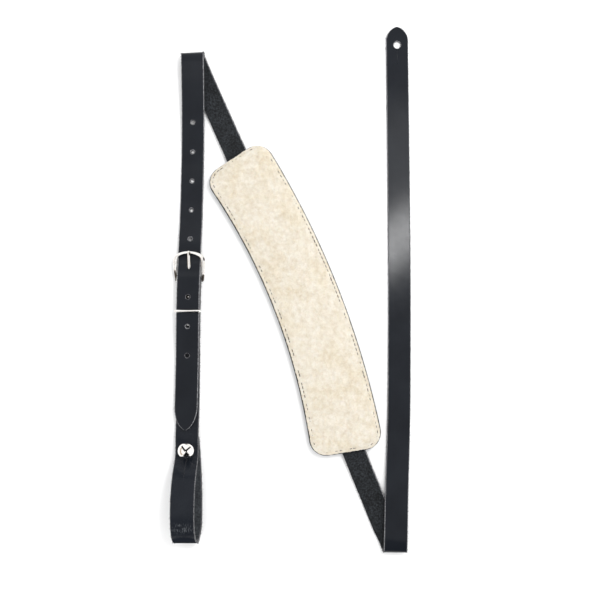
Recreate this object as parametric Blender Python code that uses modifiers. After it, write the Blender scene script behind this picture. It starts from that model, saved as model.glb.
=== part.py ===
"""Fleece-padded leather shoulder strap, laid flat in a Z, with its buckle, keeper and end loop.

Metres, +Z up, +Y towards the folded top end. The origin is the middle of the outline, on the floor.
Run it with blender --background --python part.py, or from Blender's text editor.
"""

import math

import bmesh
import bpy
from mathutils import Matrix, Vector

MM = 0.001

# Leather
STRAP_WIDTH = 19.4 * MM
STRAP_THICK = 2.5 * MM
HALF_THICK = STRAP_THICK / 2
BILLET_TAPER = 20.0 * MM
TIP_TAPER = 12.5 * MM
SLIT_HALF_WIDTH = 0.4 * MM
GAP = 0.3 * MM

# Outline of a round tip: the power of (1 - t^2), where 0.5 is an ellipse, and how wide its very end stays
BILLET_ROUNDNESS = 0.58
TIP_ROUNDNESS = 0.62
TIP_BLUNTNESS = 0.12
TIP_STATIONS = 8
CLOSEST_STATIONS = 0.3 * MM

# Spacing of the stations along a strap: closer than the step where it bends or twists by more than these
MAIN_STEP = 14 * MM
LOOP_STEP = 12 * MM
MOST_BEND = math.radians(9)
MOST_TWIST_DEGREES = 4

# Edges sharper than this stay sharp on a piece that is shaded smooth
SHARP_ANGLE = math.radians(35)

# How far a cutter reaches, to pass right through one layer or through the whole turn-back
THROUGH_LAYER = 8 * MM
THROUGH_CHAPE = 12 * MM

# Billet holes, spaced along the strap from the one that the tongue goes through, a little closer below it
HOLE_RADIUS = 2.1 * MM
SPACING_TOWARDS_FOLD = 25.8 * MM
SPACING_TOWARDS_TIP = 25.1 * MM
HOLES_TOWARDS_FOLD = 5
HOLES_TOWARDS_TIP = 3
TONGUE_HOLE_FROM_HEEL = 10.7 * MM
TONGUE_HOLE_GAP = 0.45 * MM
TONGUE_HOLE_ALONG_TONGUE = 11.3 * MM
TONGUE_HOLE_REACH = 13 * MM
TONGUE_HOLE_PULL = math.radians(2.4)

# Keyhole in the round tip
KEYHOLE = Vector((92.4, 211.0, 1.25)) * MM
KEYHOLE_RADIUS = 3.4 * MM
KEYHOLE_SLIT = 13.0 * MM

# Buckle. The frame is tilted up from its heel bar over the billet.
HEEL = Vector((-88.95, 1.0, 3.9)) * MM
BUCKLE_LENGTH = 24.5 * MM
BUCKLE_TILT = math.radians(12.0)
HEEL_BAR_RADIUS = 1.0 * MM
TONGUE_RADIUS = 1.1 * MM
TONGUE_LENGTH = 26.3 * MM
TONGUE_TILT = math.radians(17.6)
TONGUE_RING_RADIUS = 2.4 * MM
TONGUE_RING_WIRE = 0.95 * MM
TONGUE_SLOT_WIDTH = 4.6 * MM
TONGUE_SLOT_BELOW = 5.5 * MM
TONGUE_SLOT_ABOVE = 6.0 * MM

# Wire keeper
KEEPER = Vector((-89.4, -25.4, 0.0)) * MM
KEEPER_HALF_WIDTH = 10.8 * MM
KEEPER_LOW = 3.6 * MM
KEEPER_HIGH = 11.5 * MM
KEEPER_ARCH = 1.0 * MM

# Rivets through the turn-back
CHAPE_RIVETS_Y = (-12.9 * MM, -34.2 * MM)
RIVET_POST = 1.4 * MM
RIVET_CAP = 3.2 * MM
RIVET_FOOT = 0.05 * MM
RIVET_TOP = 7.1 * MM
CAP_POCKET = 0.95 * MM
RIVET_BORE_MIDDLE = 3 * MM

# Ball stud at the end loop
STUD = Vector((-89.0, -142.0, 0.0)) * MM
STUD_BALL_RADIUS = 6.7 * MM
STUD_BALL_HALF_HEIGHT = 5.5 * MM
STUD_BALL_HEIGHT = 14.0 * MM
STUD_NECK = 2.6 * MM
STUD_FLANGE = 5.5 * MM
STUD_FLANGE_THICK = 0.9 * MM
STUD_BALL_SWEEP = 155
STUD_SCREW = 1.5 * MM
SCREW_HEAD = 3.9 * MM
SCREW_HEAD_TOP = 0.95 * MM
SCREW_POCKET = 4.3 * MM
SCREW_POCKET_DEPTH = 1.3 * MM
SCREW_REACH = 5.0 * MM
SCREW_BORE_LENGTH = 7 * MM
STUD_BORE_DEPTH = 5.5 * MM
STUD_KEYHOLE_GAP = 1.2 * MM
STUD_KEYHOLE_HEIGHT = 7 * MM
LOOP_SLIT = 20.3 * MM
LOOP_SLIT_LOW = 3.2 * MM
LOOP_SLIT_HIGH = 25.5 * MM

# Shoulder pad: a band bent along an arc, a little narrower in the middle
PAD_MIDDLE = Vector((10.95, -13.15)) * MM
PAD_HEADING = math.radians(21.4)
PAD_ARC = 630.0 * MM
PAD_LENGTH = 273.0 * MM
PAD_END_WIDTH = 62.0 * MM
PAD_MIDDLE_WIDTH = 58.2 * MM
PAD_CORNER = 15.0 * MM
SMALLEST_CORNER = 4.0 * MM
BACKING_LOW = 4.7 * MM
BACKING_THICK = 2.0 * MM
FLEECE_LOW = BACKING_LOW + BACKING_THICK + GAP
FLEECE_FLANGE = 2.2 * MM
FLEECE_THICK = 9.5 * MM
SEAM_INSET = 3.6 * MM
THREAD_RADIUS = 0.45 * MM
THREAD_CLEARANCE = 0.5 * MM
EDGE_ROUNDING = 0.35 * MM

# Tunnels under the pad, square to the strap's straight run
STRAP_MIDDLE = Vector((1.0, -15.6)) * MM
STRAP_HEADING = math.radians(21.6)
TUNNELS = {"pad_loop_upper": 108.0 * MM, "pad_loop_lower": -118.0 * MM}
TUNNEL_LENGTH = 18.0 * MM
TUNNEL_THICK = 1.5 * MM
TUNNEL_HALF_SPAN = 22.0 * MM
TUNNEL_RIVET_ACROSS = 18.2 * MM
TUNNEL_RIVET_POST = 1.2 * MM
TUNNEL_RIVET_CAP = 2.9 * MM
TUNNEL_RIVET_FOOT = 1.85 * MM
TUNNEL_RIVET_TOP = 8.05 * MM
TUNNEL_BORE_LENGTH = 5 * MM
RIVET_POCKET = 3.3 * MM
RIVET_POCKET_DEPTH = 1.4 * MM

# Centre line of the main strap's middle surface: x, y, z in mm, and the turn of its width in degrees
MAIN_ROUTE = (
    (-91.0, -125.8, 6.4, -1), (-90.8, -112.0, 4.9, -1), (-90.6, -100.0, 4.2, -1), (-90.3, -78.0, 4.15, -1),
    (-90.0, -60.0, 5.0, -1), (-89.7, -46.0, 7.4, -1), (-89.5, -34.0, 8.8, -1), (-89.4, -24.0, 8.85, -1),
    (-89.3, -12.0, 9.0, -1), (-89.1, -3.0, 9.35, -1), (-89.0, 2.5, 9.35, -1), (-88.95, 6.5, 8.7, -1),
    (-88.95, 11.7, 7.2, -1), (-88.95, 17.0, 5.75, -1), (-88.9, 24.0, 5.1, -1), (-88.7, 34.0, 4.4, -1),
    (-88.4, 50.0, 2.6, -1), (-88.2, 68.0, 1.45, -1), (-88.0, 82.0, 1.25, -1), (-87.7, 105.0, 1.3, -1),
    (-87.5, 125.0, 2.4, -1), (-87.3, 143.0, 4.6, -1), (-87.2, 163.0, 7.4, -1), (-87.3, 182.0, 9.9, 0),
    (-87.5, 193.5, 10.85, 1), (-87.7, 198.8, 9.5, 2), (-88.0, 201.0, 6.1, 4), (-87.3, 198.6, 2.6, 10),
    (-84.6, 192.0, 1.3, 18), (-79.6, 180.0, 1.25, 23), (-71.2, 161.0, 1.25, 24), (-64.7, 146.5, 1.4, 24),
    (-57.0, 129.0, 2.5, 23), (-50.2, 113.7, 3.15, 21.6), (-41.3, 91.3, 3.15, 21.6), (1.0, -15.6, 3.15, 21.6),
    (43.3, -122.5, 3.15, 21.6), (53.1, -147.2, 3.15, 21.6), (60.1, -164.8, 2.1, 21.6),
    (67.5, -182.8, 1.25, 21.6), (77.0, -206.0, 1.25, 19), (82.0, -217.0, 1.3, 11), (84.6, -223.8, 2.6, 5),
    (85.5, -226.0, 5.5, 0), (85.6, -223.6, 8.7, -3), (85.8, -217.0, 9.6, -3), (86.4, -203.0, 8.3, -3),
    (87.3, -184.0, 6.0, -3), (88.6, -160.0, 3.6, -3), (89.8, -136.0, 1.9, -3), (90.7, -112.0, 1.25, -2),
    (91.6, -60.0, 1.25, -1), (92.3, 0.0, 1.25, 0), (92.54, 75.0, 1.25, 0), (92.5, 130.0, 1.25, 0),
    (92.4, 180.0, 1.25, 0), (92.4, 205.0, 1.25, 0), (92.4, 227.35, 1.25, 0),
)

# The same for the loop strap, from the end of its turn-back to the heel bar, and from there to its end
LOOP_ROUTE_TO_HEEL = (
    (-89.4, -48.0, 1.25, -1), (-89.4, -30.0, 1.25, -1), (-89.2, -10.0, 1.25, -1), (-89.0, -3.0, 1.25, -1),
)
LOOP_ROUTE_FROM_HEEL = (
    (-89.0, -3.0, 6.4, -1), (-89.1, -6.3, 5.3, -1), (-89.2, -9.2, 4.4, -1), (-89.3, -12.9, 4.3, -1),
    (-89.3, -16.3, 4.35, -1), (-89.4, -19.0, 5.65, -1), (-89.4, -20.8, 6.05, -1), (-89.4, -27.0, 6.05, -1),
    (-89.4, -28.5, 5.65, -1), (-89.4, -30.8, 4.45, -1), (-89.4, -34.2, 4.3, -1), (-89.4, -38.0, 4.3, -1),
    (-89.4, -48.5, 4.15, -1), (-89.4, -54.0, 2.8, -1), (-89.4, -60.0, 1.6, -1), (-89.4, -68.0, 1.25, -1),
    (-89.5, -98.0, 1.25, -1), (-89.6, -112.0, 1.6, -1), (-89.7, -124.0, 3.0, -1), (-89.6, -132.0, 4.75, -1),
    (-89.4, -137.0, 5.6, 0), (-89.3, -144.0, 5.9, 0), (-89.2, -149.0, 8.0, 0), (-89.1, -153.5, 12.8, 0),
    (-89.0, -160.0, 20.5, 0), (-89.0, -170.0, 27.0, 0), (-89.0, -183.0, 30.2, 0), (-89.0, -196.0, 29.6, 0),
    (-89.0, -207.0, 25.0, 0), (-88.8, -214.0, 18.0, 0), (-88.2, -216.5, 11.5, 0), (-87.5, -214.6, 6.0, 1),
    (-86.6, -209.0, 2.4, 2), (-86.2, -200.0, 1.25, 2), (-86.3, -185.0, 1.25, 0), (-87.2, -160.0, 1.25, -3),
    (-88.5, -142.0, 1.25, -4), (-89.4, -131.5, 1.25, -5),
)


def clear_scene():
    for obj in list(bpy.data.objects):
        bpy.data.objects.remove(obj, do_unlink=True)


def new_collection(name, hidden=False):
    collection = bpy.data.collections.new(name)
    collection.hide_render = hidden
    bpy.context.scene.collection.children.link(collection)
    return collection


def material(name, colour, roughness, metallic=0.0):
    mat = bpy.data.materials.new(name)
    mat.use_nodes = True
    shader = mat.node_tree.nodes["Principled BSDF"]
    shader.inputs["Base Color"].default_value = (*colour, 1.0)
    shader.inputs["Roughness"].default_value = roughness
    shader.inputs["Metallic"].default_value = metallic
    return mat


def place(obj, collection, mat=None, parent=None):
    """Moves an object into its collection, with its material and its parent."""
    for other in list(obj.users_collection):
        other.objects.unlink(obj)
    collection.objects.link(obj)
    if mat is not None:
        obj.data.materials.append(mat)
    if parent is not None:
        obj.parent = parent
        obj.matrix_parent_inverse = Matrix.Translation(parent.location).inverted()
    return obj


def mesh_object(name, bm):
    mesh = bpy.data.meshes.new(name)
    bmesh.ops.recalc_face_normals(bm, faces=bm.faces)
    bm.to_mesh(mesh)
    bm.free()
    mesh.shade_smooth()
    mesh.set_sharp_from_angle(angle=SHARP_ANGLE)
    return bpy.data.objects.new(name, mesh)


def hide_as_cutter(obj, cutters):
    place(obj, cutters)
    obj.hide_render = True
    obj.display_type = "WIRE"
    return obj


def cut(obj, cutter):
    modifier = obj.modifiers.new("cut_" + cutter.name, "BOOLEAN")
    modifier.operation = "DIFFERENCE"
    modifier.solver = "EXACT"
    modifier.object = cutter


def cylinder_cutter(name, centre, axis, radius, length, cutters, sides=16):
    """A cylinder whose middle is at the centre."""
    bm = bmesh.new()
    bmesh.ops.create_cone(
        bm, cap_ends=True, segments=sides, radius1=radius, radius2=radius, depth=length
    )
    turn = Vector((0, 0, 1)).rotation_difference(Vector(axis)).to_matrix().to_4x4()
    bmesh.ops.transform(bm, matrix=Matrix.Translation(centre) @ turn, verts=bm.verts)
    return hide_as_cutter(mesh_object(name, bm), cutters)


def box_cutter(name, low, high, cutters):
    """A box between two corners."""
    low, high = Vector(low), Vector(high)
    bm = bmesh.new()
    bmesh.ops.create_cube(bm, size=1.0)
    size = Matrix.Diagonal((*(high - low), 1.0))
    matrix = Matrix.Translation((low + high) / 2) @ size
    bmesh.ops.transform(bm, matrix=matrix, verts=bm.verts)
    return hide_as_cutter(mesh_object(name, bm), cutters)


def thicken(sheet, thickness):
    """Makes an open sheet solid, half of the thickness to each side of it."""
    solid = sheet.modifiers.new("leather", "SOLIDIFY")
    solid.thickness = thickness
    solid.offset = 0.0
    solid.use_even_offset = True


def smooth_route(knots, step):
    """Catmull-Rom curve through the knots, as (point, width turn) about every step metres."""
    rows = [Vector(knot) for knot in knots]
    rows = [rows[0] * 2 - rows[1], *rows, rows[-1] * 2 - rows[-2]]
    dense = []
    for before, start, end, after in zip(rows, rows[1:], rows[2:], rows[3:]):
        # Centripetal spacing keeps the curve from looping where knots are unevenly spaced.
        t1 = max((start - before).length, 1e-9) ** 0.5
        t2 = t1 + (end - start).length ** 0.5
        t3 = t2 + max((after - end).length, 1e-9) ** 0.5
        pieces = max(2, int((end - start).length * MM / step * 4))
        for k in range(pieces):
            t = t1 + (t2 - t1) * k / pieces
            a1 = before * ((t1 - t) / t1) + start * (t / t1)
            a2 = start * ((t2 - t) / (t2 - t1)) + end * ((t - t1) / (t2 - t1))
            a3 = end * ((t3 - t) / (t3 - t2)) + after * ((t - t2) / (t3 - t2))
            b1 = a1 * ((t2 - t) / t2) + a2 * (t / t2)
            b2 = a2 * ((t3 - t) / (t3 - t1)) + a3 * ((t - t1) / (t3 - t1))
            dense.append(b1 * ((t2 - t) / (t2 - t1)) + b2 * ((t - t1) / (t2 - t1)))
    dense.append(rows[-2])
    return thin_out(dense, step)


def thin_out(dense, step):
    """Keeps points a step apart where the strap is straight, and closer where it bends."""
    kept = [0]
    for i in range(1, len(dense) - 1):
        travelled = (dense[i].xyz - dense[kept[-1]].xyz).length * MM
        first = (dense[kept[-1] + 1].xyz - dense[kept[-1]].xyz).normalized()
        here = (dense[i + 1].xyz - dense[i].xyz).normalized()
        bend = first.angle(here, 0.0)
        twist = abs(dense[i].w - dense[kept[-1]].w)
        if travelled >= step or bend > MOST_BEND or twist > MOST_TWIST_DEGREES:
            kept.append(i)
    kept.append(len(dense) - 1)
    route = []
    for i in kept:
        x, y, z, turn = dense[i]
        # The curve may dip a little between its knots, but the leather does not go through the floor.
        route.append((Vector((x * MM, y * MM, max(z * MM, HALF_THICK))), math.radians(turn)))
    return route


def arc_lengths(route):
    lengths = [0.0]
    for (a, _), (b, _) in zip(route, route[1:]):
        lengths.append(lengths[-1] + (b - a).length)
    return lengths


def along(route, distance):
    """Point, direction and upward normal of the strap at a distance from its first end."""
    lengths = arc_lengths(route)
    for i, (start, end) in enumerate(zip(lengths, lengths[1:])):
        if distance <= end:
            break
    (a, turn), (b, _) = route[i], route[i + 1]
    point = a.lerp(b, (distance - start) / (end - start))
    direction = (b - a).normalized()
    across = Vector((math.cos(turn), math.sin(turn), 0))
    normal = across.cross(direction).normalized()
    return point, direction, normal if normal.z > 0 else -normal


def distance_at_y(route, y):
    """Distance from the first end to where the strap first passes this y."""
    lengths = arc_lengths(route)
    for i, ((a, _), (b, _)) in enumerate(zip(route, route[1:])):
        if (a.y - y) * (b.y - y) <= 0:
            return lengths[i] + (lengths[i + 1] - lengths[i]) * (y - a.y) / (b.y - a.y)
    raise ValueError("the strap does not pass that y")


def rounded(t, power):
    """Half width of a round tip, as a part of the full one, where t runs from 0 inside to 1 at the end."""
    return max(TIP_BLUNTNESS, (1 - t * t) ** power)


def half_width(distance, total, start_taper, end_taper):
    full = STRAP_WIDTH / 2
    if start_taper and distance < start_taper:
        return full * rounded(1 - distance / start_taper, BILLET_ROUNDNESS)
    if end_taper and total - distance < end_taper:
        return full * rounded(1 - (total - distance) / end_taper, TIP_ROUNDNESS)
    return full


def add_tip_stations(route, start_taper, end_taper):
    """Puts closer stations into the round tips, so that they look round."""
    lengths = arc_lengths(route)
    total = lengths[-1]
    stations = list(zip(lengths, route))
    for taper, place_at in ((start_taper, lambda d: d), (end_taper, lambda d: total - d)):
        if not taper:
            continue
        for k in range(1, TIP_STATIONS + 1):
            distance = place_at(taper * (1 - math.cos(math.pi / 2 * k / TIP_STATIONS)))
            point, _, _ = along(route, distance)
            nearest = min(stations, key=lambda row: abs(row[0] - distance))
            if abs(nearest[0] - distance) > CLOSEST_STATIONS:
                stations.append((distance, (point, nearest[1][1])))
    stations.sort(key=lambda row: row[0])
    return stations, total


def leather_strap(name, route, start_taper=0.0, end_taper=0.0):
    """An open ribbon, extruded from station to station and made solid with an even thickness."""
    stations, total = add_tip_stations(route, start_taper, end_taper)
    bm = bmesh.new()
    edge = None
    for distance, (point, turn) in stations:
        half = half_width(distance, total, start_taper, end_taper)
        across = Vector((math.cos(turn), math.sin(turn), 0)) * half
        if edge is None:
            verts = [bm.verts.new(point - across), bm.verts.new(point + across)]
            edge = bm.edges.new(verts)
            continue
        made = bmesh.ops.extrude_edge_only(bm, edges=[edge])["geom"]
        verts = [item for item in made if isinstance(item, bmesh.types.BMVert)]
        edges = [item for item in made if isinstance(item, bmesh.types.BMEdge)]
        edge = next(item for item in edges if set(item.verts) == set(verts))
        middle = (verts[0].co + verts[1].co) / 2
        left_first = (verts[0].co - middle).dot(across) < 0
        verts[0].co = point - across if left_first else point + across
        verts[1].co = point + across if left_first else point - across
    strap = mesh_object(name, bm)
    thicken(strap, STRAP_THICK)
    return strap


def turn_around_heel():
    """Stations of the turn-back's half circle round the heel bar, from below to above."""
    radius = HEEL.z - HALF_THICK
    knots = []
    steps = 8
    for k in range(steps + 1):
        angle = math.radians(-90 + 180 * k / steps)
        y = (HEEL.y + radius * math.cos(angle)) / MM
        z = (HEEL.z + radius * math.sin(angle)) / MM
        knots.append((HEEL.x / MM, y, z, -1))
    return tuple(knots)


def wire(name, points, radius, closed=False, resolution=2):
    """A wire through (x, y, z, thickness factor) points."""
    curve = bpy.data.curves.new(name, "CURVE")
    curve.dimensions = "3D"
    curve.bevel_depth = radius
    curve.bevel_resolution = resolution
    curve.use_fill_caps = not closed
    spline = curve.splines.new("POLY")
    spline.points.add(len(points) - 1)
    spline.use_cyclic_u = closed
    for point, (x, y, z, factor) in zip(spline.points, points):
        point.co = (x, y, z, 1.0)
        point.radius = factor
    return bpy.data.objects.new(name, curve)


def as_mesh(name, curve):
    """The curve as a mesh with its caps welded. The curve itself is removed."""
    bpy.context.scene.collection.objects.link(curve)
    graph = bpy.context.evaluated_depsgraph_get()
    mesh = bpy.data.meshes.new_from_object(curve.evaluated_get(graph))
    bpy.data.objects.remove(curve, do_unlink=True)
    bm = bmesh.new()
    bm.from_mesh(mesh)
    bmesh.ops.remove_doubles(bm, verts=bm.verts, dist=0.000001)
    return mesh_object(name, bm)


def closed_smooth(points, steps):
    """A closed Catmull-Rom curve through the points, with this many steps in each span."""
    rows = [Vector(point) for point in points]
    count = len(rows)
    out = []
    for i in range(count):
        p0, p1, p2, p3 = (rows[(i + k - 1) % count] for k in range(4))
        for k in range(steps):
            t = k / steps
            square = (2 * p0 - 5 * p1 + 4 * p2 - p3) * t**2
            cube = (3 * p1 - p0 - 3 * p2 + p3) * t**3
            out.append((2 * p1 + (p2 - p0) * t + square + cube) / 2)
    return out


def turned(name, profile, location, mat, parts, parent=None, steps=24):
    """A turned solid: (radius, height) rows from the top of its axis down its outer side to the bottom."""
    bm = bmesh.new()
    verts = [bm.verts.new((radius, 0, height)) for radius, height in profile]
    for a, b in zip(verts, verts[1:]):
        bm.edges.new((a, b))
    mesh = bpy.data.meshes.new(name)
    bm.to_mesh(mesh)
    bm.free()
    obj = bpy.data.objects.new(name, mesh)
    screw = obj.modifiers.new("turn", "SCREW")
    screw.steps = steps
    screw.render_steps = steps
    screw.use_merge_vertices = True
    screw.merge_threshold = 0.00001
    obj.location = location
    return place(obj, parts, mat, parent)


def make_main_strap(parts, cutters, leather):
    route = smooth_route(MAIN_ROUTE, MAIN_STEP)
    strap = leather_strap("main_strap", route, BILLET_TAPER, TIP_TAPER)
    place(strap, parts, leather)
    tongue_hole = distance_at_y(route, HEEL.y + TONGUE_HOLE_FROM_HEEL)
    for k in range(-HOLES_TOWARDS_TIP, HOLES_TOWARDS_FOLD + 1):
        if k == 0:
            continue
        spacing = SPACING_TOWARDS_FOLD if k > 0 else SPACING_TOWARDS_TIP
        point, _, normal = along(route, tongue_hole + k * spacing)
        name = f"billet_hole_{k + HOLES_TOWARDS_TIP + 1}"
        cut(strap, cylinder_cutter(name, point, normal, HOLE_RADIUS, THROUGH_LAYER, cutters))
    for k in range(3):
        # The hole under the tongue is pulled oval along the way that the tongue swings.
        tilt = TONGUE_TILT + TONGUE_HOLE_PULL * k
        axis = Vector((0, math.cos(tilt), math.sin(tilt)))
        centre = HEEL + axis * TONGUE_HOLE_ALONG_TONGUE
        name = f"tongue_hole_{k + 1}"
        radius = TONGUE_RADIUS + TONGUE_HOLE_GAP
        cut(strap, cylinder_cutter(name, centre, axis, radius, TONGUE_HOLE_REACH, cutters))
    hole = cylinder_cutter("tip_keyhole", KEYHOLE, (0, 0, 1), KEYHOLE_RADIUS, THROUGH_LAYER, cutters, 24)
    cut(strap, hole)
    low = KEYHOLE + Vector((-SLIT_HALF_WIDTH, -KEYHOLE_RADIUS - KEYHOLE_SLIT, -THROUGH_LAYER / 2))
    high = KEYHOLE + Vector((SLIT_HALF_WIDTH, 0, THROUGH_LAYER / 2))
    cut(strap, box_cutter("tip_slit", low, high, cutters))


def make_loop_strap(parts, cutters, leather):
    """The strap with its tongue slot, rivet bores, screw bore, and the keyhole that buttons on the stud."""
    up = (0, 0, 1)
    knots = LOOP_ROUTE_TO_HEEL + turn_around_heel() + LOOP_ROUTE_FROM_HEEL
    strap = leather_strap("loop_strap", smooth_route(knots, LOOP_STEP))
    place(strap, parts, leather)
    low = HEEL + Vector((-TONGUE_SLOT_WIDTH / 2, -TONGUE_SLOT_BELOW, -TONGUE_SLOT_ABOVE))
    high = HEEL + Vector((TONGUE_SLOT_WIDTH / 2, TONGUE_SLOT_ABOVE, TONGUE_SLOT_ABOVE))
    cut(strap, box_cutter("tongue_slot", low, high, cutters))
    for k, y in enumerate(CHAPE_RIVETS_Y):
        centre = Vector((KEEPER.x, y, RIVET_BORE_MIDDLE))
        name = f"rivet_bore_{k + 1}"
        cut(strap, cylinder_cutter(name, centre, up, RIVET_POST + GAP, THROUGH_CHAPE, cutters))
        centre.z = 0
        name = f"rivet_pocket_{k + 1}"
        cut(strap, cylinder_cutter(name, centre, up, RIVET_CAP + GAP, 2 * CAP_POCKET, cutters))
    cut(strap, cylinder_cutter("screw_bore", STUD, up, STUD_SCREW + GAP, SCREW_BORE_LENGTH, cutters))
    cut(strap, cylinder_cutter("screw_pocket", STUD, up, SCREW_POCKET, 2 * SCREW_POCKET_DEPTH, cutters))
    centre = STUD + Vector((0, 0, STUD_KEYHOLE_HEIGHT))
    radius = STUD_NECK + STUD_KEYHOLE_GAP
    cut(strap, cylinder_cutter("stud_keyhole", centre, up, radius, THROUGH_LAYER, cutters, 24))
    low = STUD + Vector((-SLIT_HALF_WIDTH, -LOOP_SLIT, LOOP_SLIT_LOW))
    high = STUD + Vector((SLIT_HALF_WIDTH, 0, LOOP_SLIT_HIGH))
    cut(strap, box_cutter("stud_slit", low, high, cutters))


def buckle_outline():
    """Half of the frame's centre line in its own plane, from the heel bar up, as x, y and thickness in mm."""
    return (
        (0.0, 0.0, 1.0), (5.0, 0.0, 1.0), (9.8, 0.0, 1.0), (11.2, 0.6, 1.1), (11.4, 2.4, 1.15),
        (11.5, 8.0, 1.3), (11.75, 14.0, 1.5), (11.6, 17.6, 1.55), (10.6, 20.4, 1.5), (8.4, 22.5, 1.4),
        (4.6, 24.0, 1.3), (0.0, BUCKLE_LENGTH / MM, 1.2),
    )


def make_buckle(parts, nickel):
    hinge = bpy.data.objects.new("buckle_hinge", None)
    hinge.location = HEEL
    place(hinge, parts)
    half = buckle_outline()
    other_half = [(-x, y, r) for x, y, r in half[-2:0:-1]]
    points = []
    for x, y, r in closed_smooth([*half, *other_half], 3):
        across = Vector((x, y * math.cos(BUCKLE_TILT), y * math.sin(BUCKLE_TILT))) * MM
        points.append((*across, r * MM / HEEL_BAR_RADIUS))
    frame = wire("buckle_frame", points, HEEL_BAR_RADIUS, closed=True)
    frame.location = HEEL
    place(frame, parts, nickel, hinge)
    return hinge


def make_tongue(parts, cutters, nickel, hinge):
    """A ring on the heel bar and a tapered shaft that rests on the outer bar."""
    bpy.ops.mesh.primitive_torus_add(
        major_radius=TONGUE_RING_RADIUS,
        minor_radius=TONGUE_RING_WIRE,
        major_segments=24,
        minor_segments=10,
        rotation=(0, math.pi / 2, 0),
        location=HEEL,
    )
    ring = bpy.context.object
    ring.name = "tongue_ring_shape"
    bpy.ops.object.transform_apply(location=False, rotation=True, scale=False)
    hide_as_cutter(ring, cutters)
    # Distance from the heel bar's axis, and the part of the full thickness there.
    rows = (
        (TONGUE_RING_RADIUS, 0.9), (5 * MM, 1.0), (20 * MM, 0.95),
        (TONGUE_LENGTH - 0.8 * MM, 0.85), (TONGUE_LENGTH, 0.5),
    )
    direction = Vector((0, math.cos(TONGUE_TILT), math.sin(TONGUE_TILT)))
    points = [(*(direction * distance), factor) for distance, factor in rows]
    tongue = as_mesh("buckle_tongue", wire("tongue_shaft", points, TONGUE_RADIUS, resolution=3))
    tongue.location = HEEL
    place(tongue, parts, nickel, hinge)
    union = tongue.modifiers.new("ring", "BOOLEAN")
    union.operation = "UNION"
    union.solver = "EXACT"
    union.object = ring


def make_keeper(parts, nickel):
    """A flat wire loop with an arched top and thicker shoulders."""
    low = KEEPER_LOW / MM
    side = KEEPER_HALF_WIDTH / MM
    top = (KEEPER_HIGH + KEEPER_ARCH) / MM
    # x and z in mm, and the wire's radius there in mm
    half = (
        (0.0, low, 0.85), (6.0, low, 0.85), (9.8, low, 0.8), (10.7, low + 1.3, 0.7), (side, 7.2, 0.65),
        (side, 10.0, 0.65), (10.0, 11.5, 0.9), (7.0, 11.9, 0.95), (3.5, 12.3, 0.85), (0.0, top, 0.8),
    )
    other_half = [(-x, z, r) for x, z, r in half[-2:0:-1]]
    points = [(x * MM, 0.0, z * MM, r) for x, z, r in closed_smooth([*half, *other_half], 3)]
    keeper = wire("strap_keeper", points, MM, closed=True)
    keeper.location = KEEPER
    place(keeper, parts, nickel)


def rivet_profile(low, high, cap, post):
    """Flat cap below, post, and domed cap above, between two heights."""
    under_dome = high - 1.1 * MM
    over_foot = low + 0.7 * MM
    rim = cap - 0.1 * MM
    return (
        (0, high), (cap * 0.5, high - 0.12 * MM), (cap * 0.85, high - 0.45 * MM),
        (cap, under_dome + 0.15 * MM), (rim, under_dome), (post, under_dome), (post, over_foot),
        (rim, over_foot), (cap, over_foot - 0.1 * MM), (cap - 0.2 * MM, low), (0, low),
    )


def make_chape_rivets(parts, nickel):
    names = ("chape_rivet_near", "chape_rivet_far")
    for name, y in zip(names, CHAPE_RIVETS_Y):
        profile = rivet_profile(RIVET_FOOT, RIVET_TOP, RIVET_CAP, RIVET_POST)
        turned(name, profile, (KEEPER.x, y, 0), nickel, parts)


def make_stud(parts, nickel, steel):
    """A round head on a neck, with a flange below it and a blind bore for the screw."""
    flange_low = STRAP_THICK + GAP
    flange_high = flange_low + STUD_FLANGE_THICK
    bore = STUD_SCREW + GAP
    bore_end = flange_low + STUD_BORE_DEPTH
    steps = 10
    head = [(0, STUD_BALL_HEIGHT + STUD_BALL_HALF_HEIGHT)]
    for k in range(1, steps + 1):
        angle = math.radians(90 - STUD_BALL_SWEEP * k / steps)
        height = STUD_BALL_HEIGHT + STUD_BALL_HALF_HEIGHT * math.sin(angle)
        head.append((STUD_BALL_RADIUS * math.cos(angle), height))
    profile = (
        *head, (STUD_NECK, STUD_BALL_HEIGHT - STUD_BALL_HALF_HEIGHT), (STUD_NECK, flange_high),
        (STUD_FLANGE, flange_high - 0.2 * MM), (STUD_FLANGE, flange_low), (bore, flange_low),
        (bore, bore_end), (0, bore_end),
    )
    turned("ball_stud", profile, STUD, nickel, parts, steps=32)
    top = flange_low + SCREW_REACH
    screw = (
        (0, top), (STUD_SCREW, top), (STUD_SCREW, SCREW_HEAD_TOP), (SCREW_HEAD, SCREW_HEAD_TOP),
        (SCREW_HEAD, RIVET_FOOT), (0, RIVET_FOOT),
    )
    turned("stud_screw", screw, STUD, steel, parts)


def pad_point(u, v):
    """Maps a distance along the pad and one across it to the plane."""
    v *= 1 - (PAD_END_WIDTH - PAD_MIDDLE_WIDTH) / PAD_END_WIDTH * (1 - (2 * u / PAD_LENGTH) ** 2)
    angle = PAD_HEADING + u / PAD_ARC
    outward = Vector((math.cos(PAD_HEADING), math.sin(PAD_HEADING)))
    centre = PAD_MIDDLE - outward * PAD_ARC
    return centre + (PAD_ARC + v) * Vector((math.cos(angle), math.sin(angle)))


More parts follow.
